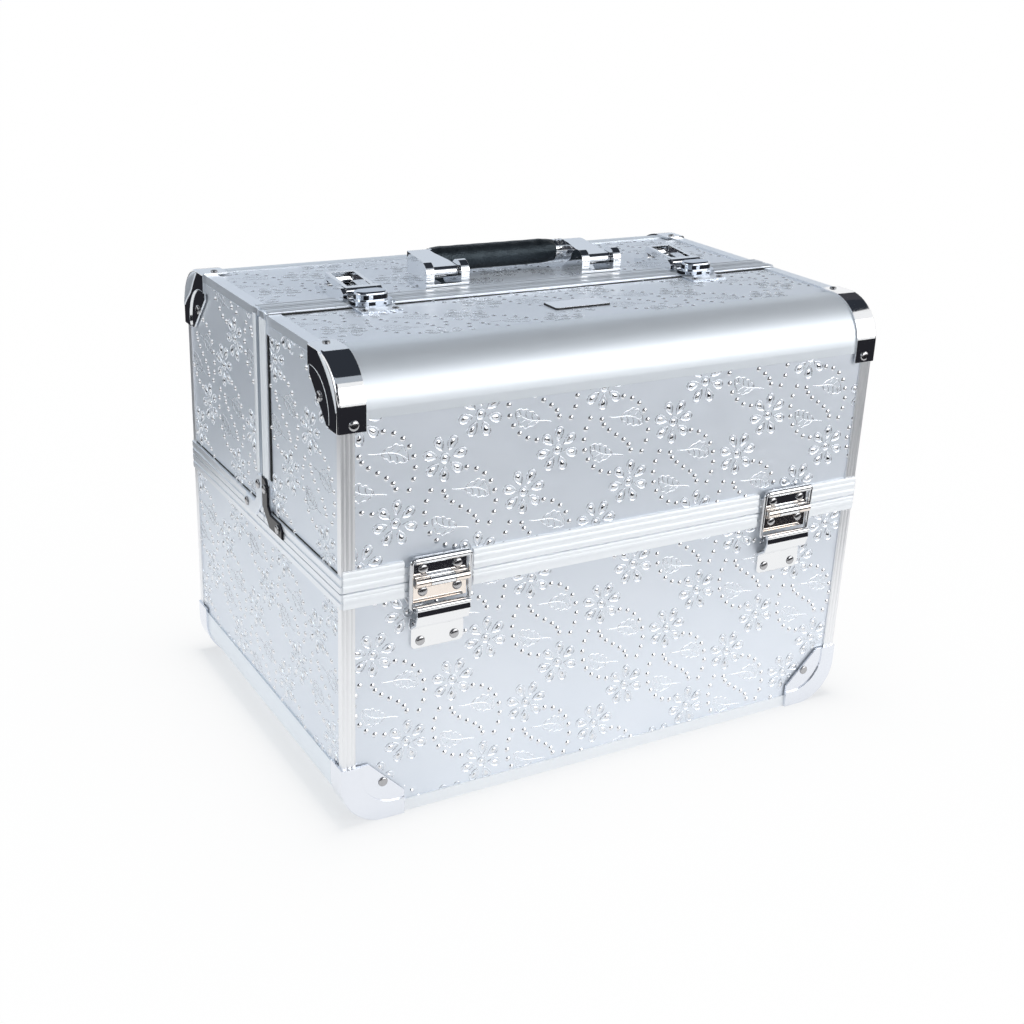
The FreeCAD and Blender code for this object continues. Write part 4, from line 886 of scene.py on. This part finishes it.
def lid_profile(panel, top, sign):
    """Inner outline of an upper half from its end: up its face, round the edge and along the top."""
    face = min(abs(panel[0].y), abs(panel[1].y))
    roof = top[0].z
    profile = [(-sign * face, panel[0].z)]
    for share in shares(ARC_STEPS):
        turn = pi / 2 * share
        inward = LID_ROUND * (1 - cos(turn))
        down = LID_ROUND * (1 - sin(turn))
        profile.append((-sign * (face - inward), roof - down))
    profile.append((top[1].y if sign > 0 else top[0].y, roof))
    return profile


def add_lid_linings():
    """Cloth on the inner faces of the upper halves."""
    for side, sign in (("front", 1), ("rear", -1)):
        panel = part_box(side + "_lid_panel")
        half = panel[1].x
        profile = lid_profile(panel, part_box(side + "_lid_top"), sign)
        rows = [[Vector((x, y, z)) for y, z in profile] for x in (-half, half)]
        mesh = skin(rows, closed=False)
        for row in rows:
            corner = Vector((row[0].x, row[-1].y, row[0].z))
            mesh.faces.new([mesh.verts.new(point) for point in row + [corner]])
        bmesh.ops.remove_doubles(mesh, verts=mesh.verts, dist=WELD)
        bmesh.ops.recalc_face_normals(mesh, faces=mesh.faces)
        bmesh.ops.solidify(mesh, geom=mesh.faces[:], thickness=CLOTH)
        add_piece(side + "_lid_lining", mesh, (LINING,), side + "_lid", smooth=False)


# Painted shadow strips in the split and along the joints, the pale seam strip and the badge's painted dark
# edge


def add_split_shadow():
    """Black strip of painted shadow in the gap in front of the front split rail: up one side, over the top
    and down the other.
    """
    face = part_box("front_lid_split_rail")[0].y
    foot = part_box("front_lid_brackets")[1].z
    side_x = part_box("front_lid_sides")[1].x + SPLIT_SHADOW_OUT
    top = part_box("front_lid_top_trims")[1].z + SPLIT_SHADOW_ABOVE
    back = face + SPLIT_SHADOW_BEHIND
    shoulder = top - SPLIT_SHADOW_DEPTH
    route = [(-side_x, foot, SPLIT_SHADOW_SIDE), (-side_x, shoulder, SPLIT_SHADOW_SIDE)]
    for share in SPLIT_SHADOW_SHARES:
        wide = SPLIT_SHADOW_MIDDLE + (SPLIT_SHADOW_TOP - SPLIT_SHADOW_MIDDLE) * abs(share) ** 2
        route.append((share * side_x, top - SPLIT_SHADOW_SAG * (1 - abs(share)), wide))
    route += [(side_x, shoulder, SPLIT_SHADOW_SIDE), (side_x, foot, SPLIT_SHADOW_SIDE)]
    rows = []
    for x, z, wide in route:
        inner_x = max(-side_x + SPLIT_SHADOW_DEPTH, min(side_x - SPLIT_SHADOW_DEPTH, x))
        inner_z = min(z, shoulder)
        front = face - wide
        rows.append([(x, back, z), (x, front, z), (inner_x, front, inner_z), (inner_x, back, inner_z)])
    add_flat("split_painted_shadow", rows, PAINTED_DARK, "front_lid")


def add_painted_shadow_lines():
    """Dark strips of painted shadow where the side panels of the upper halves stand on their rims."""
    for lid in ("front", "rear"):
        low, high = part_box(lid + "_lid_sides")
        for side, x in (("left", low.x), ("right", high.x)):
            rows = bar_rows(x, SHADOW_LINE_PROUD, (low.y, high.y), low.z, low.z + SHADOW_LINE_HIGH)
            add_flat("%s_painted_shadow_line_%s" % (lid, side), rows, PAINTED_DARK, lid + "_lid")


def add_seam_strip():
    """Pale sealing strip that lies on the base's rim, in the seam under the upper halves."""
    half_x, half_y = SEAM_OUTER
    low, high = SEAM
    rows = [rounded_ring(half_x - inset, half_y - inset, SEAM_CORNER - inset, z)
            for inset, z in ((0, low), (0, high), (SEAM_DEPTH, high), (SEAM_DEPTH, low))]
    add_flat("base_seam_strip", rows, RIM, "base", looped=True)


def add_badge_edge():
    """Black edge round the bare badge plate, a painted dark reflection on its sides."""
    low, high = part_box("badge_plate")
    middle = (low + high) / 2
    half_x, half_y = (high.x - low.x) / 2, (high.y - low.y) / 2
    rows = []
    shoulder, inside = (high.z - drop for drop in BADGE_DROPS)
    for grow, z in ((BADGE_RIM, low.z), (BADGE_RIM, shoulder), (0, inside)):
        ring = rounded_ring(half_x + grow, half_y + grow, BADGE_CORNER + grow, z)
        rows.append([point + X * middle.x + Y * middle.y for point in ring])
    add_flat("badge_edge", rows, PAINTED_DARK, "front_lid")


# Ridged facings


def ridge_profile(widths, proud):
    """Outline of a ridged strip, as pairs of a distance across it and a height out of its seat."""
    profile = [(0, -FACING_BACK)]
    start = 0
    for width in widths:
        for share in shares(RIDGE_STEPS):
            profile.append((start + width * share, proud * (1 - (2 * share - 1) ** 2)))
        start += width
    return profile + [(start, -FACING_BACK)]


def add_strip(name, body, start, along, length, across, profile, material):
    """A straight ridged strip from a corner of its seat; it faces along x across."""
    out = along.cross(across)
    rows = []
    for reach in (0, length):
        foot = Vector(start) + along * reach
        rows.append([foot + across * aside + out * height for aside, height in profile])
    add_flat(name, rows, material, body)


def spans_between(end, gap):
    """Three spans along X that leave out a gap on either side."""
    inner, outer = gap
    return ((-end, -outer), (-inner, inner), (outer, end))


def add_facings():
    """Ridged white facings of the rims, front and rear, broken where the hinges sit; their white is
    painted highlight.
    """
    parts = (("front_lid", False, LID_FACING), ("rear_lid", True, LID_FACING),
             ("base", False, BASE_FACING), ("base", True, BASE_FACING))
    for body, rear, (foot, heights) in parts:
        profile = ridge_profile(heights, FACING_PROUD)
        side = "rear" if rear else "front"
        for number, (low, high) in enumerate(spans_between(FACING_END, FACING_BREAK), 1):
            name = "%s_facing_%s_%d" % (body, side, number)
            start = (high, FACING_FACE, foot) if rear else (low, -FACING_FACE, foot)
            add_strip(name, body, start, -X if rear else X, high - low, Z, profile, WHITE_HIGHLIGHT)


def add_post_ridges():
    """Fine ridges up the front and rear faces of the corner posts."""
    profile = ridge_profile(POST_RIDGES, POST_PROUD)
    parts = (("front_lid", (False,), LID_POST_Z), ("rear_lid", (True,), LID_POST_Z),
             ("base", (False, True), BASE_POST_Z))
    for body, faces, (foot, top) in parts:
        low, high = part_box(body + "_posts")
        width = sum(POST_RIDGES) + POST_MARGIN
        for rear in faces:
            for side, x in (("left", low.x + POST_MARGIN), ("right", high.x - width)):
                start = (x, high.y, foot) if rear else (x, low.y, top)
                name = "%s_post_%s_%s" % (body, "rear" if rear else "front", side)
                add_strip(name, body, start, Z if rear else -Z, top - foot, X, profile, POST)


def add_split_ridges():
    """Ridges over the tops and up the sides of the split rails; the rear one's sides have a channel. Up
    the sides the white ridges and bead carry painted highlight, and the darker channel painted shade.
    """
    profile = ridge_profile(SPLIT_RIDGES, SPLIT_PROUD)
    foot, top = SPLIT_SIDE_Z
    sides = {"front_lid": ((SPLIT_RIDGES, SPLIT_PROUD, WHITE_HIGHLIGHT),),
             "rear_lid": ((SPLIT_CHANNEL, CHANNEL_PROUD, CHANNEL_SHADE), (SPLIT_BEAD, SPLIT_PROUD, WHITE_HIGHLIGHT))}
    for body, parts in sides.items():
        low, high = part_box(body + "_split_rail")
        near = low.y + SPLIT_MARGIN
        for number, (widths, proud, material) in enumerate(parts, 1):
            far = near + sum(widths)
            section = ridge_profile(widths, proud)
            for side, x, y, across in (("left", low.x, near, Y), ("right", high.x, far, -Y)):
                name = "%s_split_%s_%d" % (body, side, number)
                add_strip(name, body, (x, y, foot), Z, top - foot, across, section, material)
            near = far
        for number, (start, end) in enumerate(spans_between(SPLIT_TOP_END, SPLIT_TOP_BREAK), 1):
            corner = (start, low.y + SPLIT_MARGIN, high.z)
            name = "%s_split_top_%d" % (body, number)
            add_strip(name, body, corner, X, end - start, Y, profile, SPLIT_TOP)


# Latch keepers, clips and rivets


def oval_point(width, length, turn):
    """Point of an oval with straight long sides and round ends, in a direction from its middle."""
    radius = length / 2
    flat = width / 2 - radius
    right, up = cos(turn), sin(turn)
    if abs(right) * radius < flat * abs(up):
        return right / abs(up) * radius, copysign(radius, up)
    reach = abs(right) * flat + sqrt(radius ** 2 - (flat * up) ** 2)
    return right * reach, up * reach


def painted_reflection_rows(x, oval, heights, span):
    """Rows of a thin band on a keeper's wall, over a span of degrees."""
    foot, top = heights
    start, end = span
    rows = []
    for share in shares(PAINTED_REFLECTION_STEPS):
        turn = radians(start + (end - start) * share)
        row = []
        for proud, z in ((-PAINTED_REFLECTION, foot), (PAINTED_REFLECTION, foot), (PAINTED_REFLECTION, top), (-PAINTED_REFLECTION, top)):
            a, b = oval_point(oval[0] + 2 * proud, oval[1] + 2 * proud, turn)
            row.append((x + a, KEEPER_Y + b, z))
        rows.append(row)
    return rows


def add_painted_reflection_bands():
    """Painted dark reflection on the walls of the latch keepers, in bands broken by bare windows."""
    for side, sign in SIDES:
        for band, oval, heights, spans in PAINTED_REFLECTION_BANDS:
            for number, span in enumerate(spans, 1):
                name = "%s_%s_enamel_%d" % (side, band, number)
                rows = painted_reflection_rows(sign * LATCH_X, oval, heights, span)
                add_flat(name, rows, BLACK_REFLECTION, "front_lid")


def add_strike_plates():
    """Satin plates over the feet of the latch keepers."""
    for side, sign in SIDES:
        middle = Vector((sign * LATCH_X, STRIKE_Y, 0))
        rings = [rounded_ring(*STRIKE_HALF, STRIKE_CORNER, z) for z in STRIKE_Z]
        rows = [[point + middle for point in ring] for ring in rings]
        add_flat(side + "_strike_plate", rows, SHEET_STRIP, "front_lid")


def crescent_rows(shape, way, sign):
    """Rows of a rounded band along an arc on a clip's end face, which tapers to both ends."""
    middle, radius, start, end, width, proud = shape
    depth, height = CLIP_CORNER
    rows = []
    for share in shares(CRESCENT_STEPS):
        turn = radians(start + (end - start) * share)
        wide = width * max(sin(pi * share), CRESCENT_TIP) ** CRESCENT_TAPER
        row = []
        for inward, level in CRESCENT_SECTION:
            reach = radius - inward * wide
            x = sign * (CLIP_FACE - SUNK + level * proud)
            y = way * (depth - middle - reach * cos(turn))
            row.append((x, y, height - middle - reach * sin(turn)))
        rows.append(row)
    return rows


def add_crescents():
    """Rounded edges on the end faces of the upper clips: a crescent outside, a thin arc inside; on the
    front lid they are white, a painted highlight.
    """
    lids = (("front_lid", -1, FRONT_CRESCENT, WHITE_HIGHLIGHT), ("rear_lid", 1, REAR_CRESCENT, TRIM))
    for lid, way, crescent, material in lids:
        for side, sign in SIDES:
            for number, shape in enumerate((crescent, INNER_ARC), 1):
                name = "%s_clip_%s_edge_%d" % (lid, side, number)
                add_piece(name, skin(crescent_rows(shape, way, sign)), (material,), lid)


def islands(node):
    """Low and high corners of every separate body in a node's mesh."""
    mesh = bmesh.new()
    mesh.from_mesh(NODES[node].data)
    place = NODES[node].matrix_world
    seen = set()
    boxes = []
    for first in mesh.verts:
        reach = [first]
        points = []
        while reach:
            vert = reach.pop()
            if vert not in seen:
                seen.add(vert)
                points.append(place @ vert.co)
                reach += [edge.other_vert(vert) for edge in vert.link_edges]
        if points:
            boxes.append([Vector(map(pick, zip(*points))) for pick in (min, max)])
    mesh.free()
    return boxes


def add_dome(mesh, low, high):
    """A domed rivet head in place of a plain one, broader than it unless it lies on top of the case."""
    size = high - low
    middle = (low + high) / 2
    axis = min(range(3), key=lambda k: size[k])
    out = (X, Y, Z)[axis] * (1 if middle[axis] > 0 else -1)
    across = (Y, Z, X)[axis]
    up = out.cross(across)
    radius = max(size) / 2 * (1.0 if axis == 2 else RIVET_GROWTH)
    height = size[axis]
    foot = middle - out * height / 2
    asides = [across * cos(turn) + up * sin(turn) for turn in turns(RIVET_POINTS)]
    rings = [[foot + aside * share * radius + out * level * height for aside in asides]
             for share, level in RIVET_LEVELS]
    rows = stack(mesh, rings, foot + out * height)[0]
    mesh.faces.new(rows[0][::-1])


def add_rivets():
    """Domed heads in place of the plain rivets of each body."""
    for body in SHELLS:
        mesh = bmesh.new()
        for low, high in islands(body + "_rivets"):
            add_dome(mesh, low, high)
        domes = add_piece(body + "_rivet_domes", mesh, (RIVET,), body)
        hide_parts(body + "_rivets")


# Stage


def add_camera():
    """The photograph's camera."""
    back = Vector((sin(CAMERA_AZIMUTH) * cos(CAMERA_ELEVATION),
                   -cos(CAMERA_AZIMUTH) * cos(CAMERA_ELEVATION), sin(CAMERA_ELEVATION)))
    level = Z.cross(back).normalized()
    upright = back.cross(level)
    right = level * cos(CAMERA_ROLL) + upright * sin(CAMERA_ROLL)
    up = upright * cos(CAMERA_ROLL) - level * sin(CAMERA_ROLL)
    data = bpy.data.cameras.new("camera")
    data.sensor_width = SENSOR
    data.lens = FOCAL_PIXELS * SENSOR / FRAME_PIXELS
    camera = new_object("camera", data)
    turn = Matrix((right, up, back)).transposed().to_4x4()
    place = (right * CAMERA_ACROSS + up * CAMERA_UP + back * CAMERA_DISTANCE) * CASE_WIDTH
    camera.matrix_world = Matrix.Translation(place) @ turn
    bpy.context.scene.camera = camera


def math_step(tree, operation, *values, kind="Math", result="Value"):
    """One step of arithmetic in a material, between values or sockets."""
    node = add_node(tree, kind)
    node.operation = operation
    for socket, value in zip(node.inputs, values):
        feed(socket, value)
    return node.outputs[result]


def vector_step(tree, operation, *values, result="Vector"):
    """One step of vector arithmetic in a material."""
    return math_step(tree, operation, *values, kind="VectorMath", result=result)


def seen_directly(tree):
    """1 for rays that show the background: straight from the camera, mirrored or through glass."""
    path = add_node(tree, "LightPath")
    first = math_step(tree, "MAXIMUM", path.outputs["Is Camera Ray"], path.outputs["Is Glossy Ray"])
    return math_step(tree, "MAXIMUM", first, path.outputs["Is Transmission Ray"])


def mix_shaders(tree, share, first, second, out):
    """Sends out one shader, or the other by a share."""
    mix = add_node(tree, "MixShader", Fac=share)
    feed(mix.inputs[1], first.outputs[0])
    feed(mix.inputs[2], second.outputs[0])
    feed(out.inputs["Surface"], mix.outputs[0])


def light_world():
    """Soft pale light from all round, which shows as plain white."""
    world = bpy.data.worlds.new("studio")
    bpy.context.scene.world = world
    world.use_nodes = True
    tree = world.node_tree
    tree.nodes.clear()
    soft = add_node(tree, "Background", Color=(*SOFT_LIGHT, 1), Strength=SOFT_STRENGTH)
    white = add_node(tree, "Background", Color=(*WHITE, 1), Strength=1.0)
    mix_shaders(tree, seen_directly(tree), soft, white, add_node(tree, "OutputWorld"))


def level_corners(left, right, front, rear, height):
    """Corners of a level sheet between two lines across the stage."""
    corners = ((left, front), (right, front), (right, rear), (left, rear))
    return [(x, middle + slant * x, height) for x, (middle, slant) in corners]


def add_backdrop(name, corners, material):
    """A four-cornered sheet of the stage."""
    mesh = bpy.data.meshes.new(name)
    mesh.from_pydata(corners, [], [(0, 1, 2, 3)])
    mesh.materials.append(material)
    backdrop = new_object(name, mesh)
    return backdrop


def floor_fade(tree):
    """How far the floor has turned to plain white: little under the case, wholly a hand away from it."""
    place = add_node(tree, "NewGeometry")
    folded = vector_step(tree, "ABSOLUTE", place.outputs["Position"])
    outside = vector_step(tree, "SUBTRACT", folded, FOOTPRINT)
    outside = vector_step(tree, "MAXIMUM", outside, (0, 0, 0))
    away = vector_step(tree, "LENGTH", outside, result="Value")
    reach = math_step(tree, "ADD", away, SHADE_REACH)
    shade = math_step(tree, "DIVIDE", FLOOR_SHADE * SHADE_REACH, reach)
    fade = math_step(tree, "SUBTRACT", 1.0, shade)
    return math_step(tree, "MULTIPLY", fade, seen_directly(tree))


def add_floor():
    """White floor that keeps the shadow and fades to white away from it."""
    material, tree, shader = new_material("floor", FLOOR_WHITE, metallic=0.0, roughness=1.0)
    shader.inputs["Specular IOR Level"].default_value = 0.0
    white = add_node(tree, "Emission")
    mix_shaders(tree, floor_fade(tree), shader, white, tree.nodes["Material Output"])
    corners = level_corners(-FLOOR_SIZE, FLOOR_SIZE, (-FLOOR_SIZE, 0), (FLOOR_SIZE, 0), 0)
    add_backdrop("floor", corners, material)


def add_lamp(name, place, width, height, power, colour):
    """A rectangular lamp that faces the middle of the case."""
    data = bpy.data.lights.new(name, "AREA")
    data.shape = "RECTANGLE"
    data.size = width
    data.size_y = height
    data.energy = power
    data.color = colour
    lamp = new_object(name, data)
    lamp.location = place
    lamp.rotation_euler = (Vector(LAMP_TARGET) - Vector(place)).to_track_quat("-Z", "Y").to_euler()
    return lamp


def add_lights():
    """Three lamps, of which bright metal mirrors only the lower two."""
    overhead = add_lamp("overhead", *OVERHEAD_LAMP)
    overhead.visible_glossy = False
    add_lamp("front", *FRONT_LAMP)
    add_lamp("left", *LEFT_LAMP)


def add_card(name, corners, level):
    """A studio card that only mirrors and glossy metal see."""
    material = bpy.data.materials.new(name)
    material.use_nodes = True
    tree = material.node_tree
    tree.nodes.clear()
    glow = add_node(tree, "Emission", Color=(*level, 1))
    add_node(tree, "OutputMaterial", Surface=glow.outputs[0])
    card = add_backdrop(name, corners, material)
    for rays in ("camera", "diffuse", "shadow", "transmission"):
        setattr(card, "visible_" + rays, False)


def add_cards():
    """Dark surroundings of the white table, which bright metal mirrors."""
    for name, (*edges, level) in LEVEL_CARDS.items():
        add_card(name, level_corners(*edges), level)
    for name, (start, end, foot, level) in WALLS.items():
        add_card(name, [(*start, foot), (*end, foot), (*end, CEILING), (*start, CEILING)], level)


bpy.context.scene.view_settings.view_transform = "Standard"
dress_nodes()
emboss_panels()
emboss_top_strips()
add_grip()
add_liner()
add_lid_linings()
add_split_shadow()
add_painted_shadow_lines()
add_facings()
add_post_ridges()
add_split_ridges()
add_seam_strip()
add_painted_reflection_bands()
add_strike_plates()
add_crescents()
add_rivets()
add_badge_edge()
add_camera()
light_world()
add_floor()
add_lights()
add_cards()
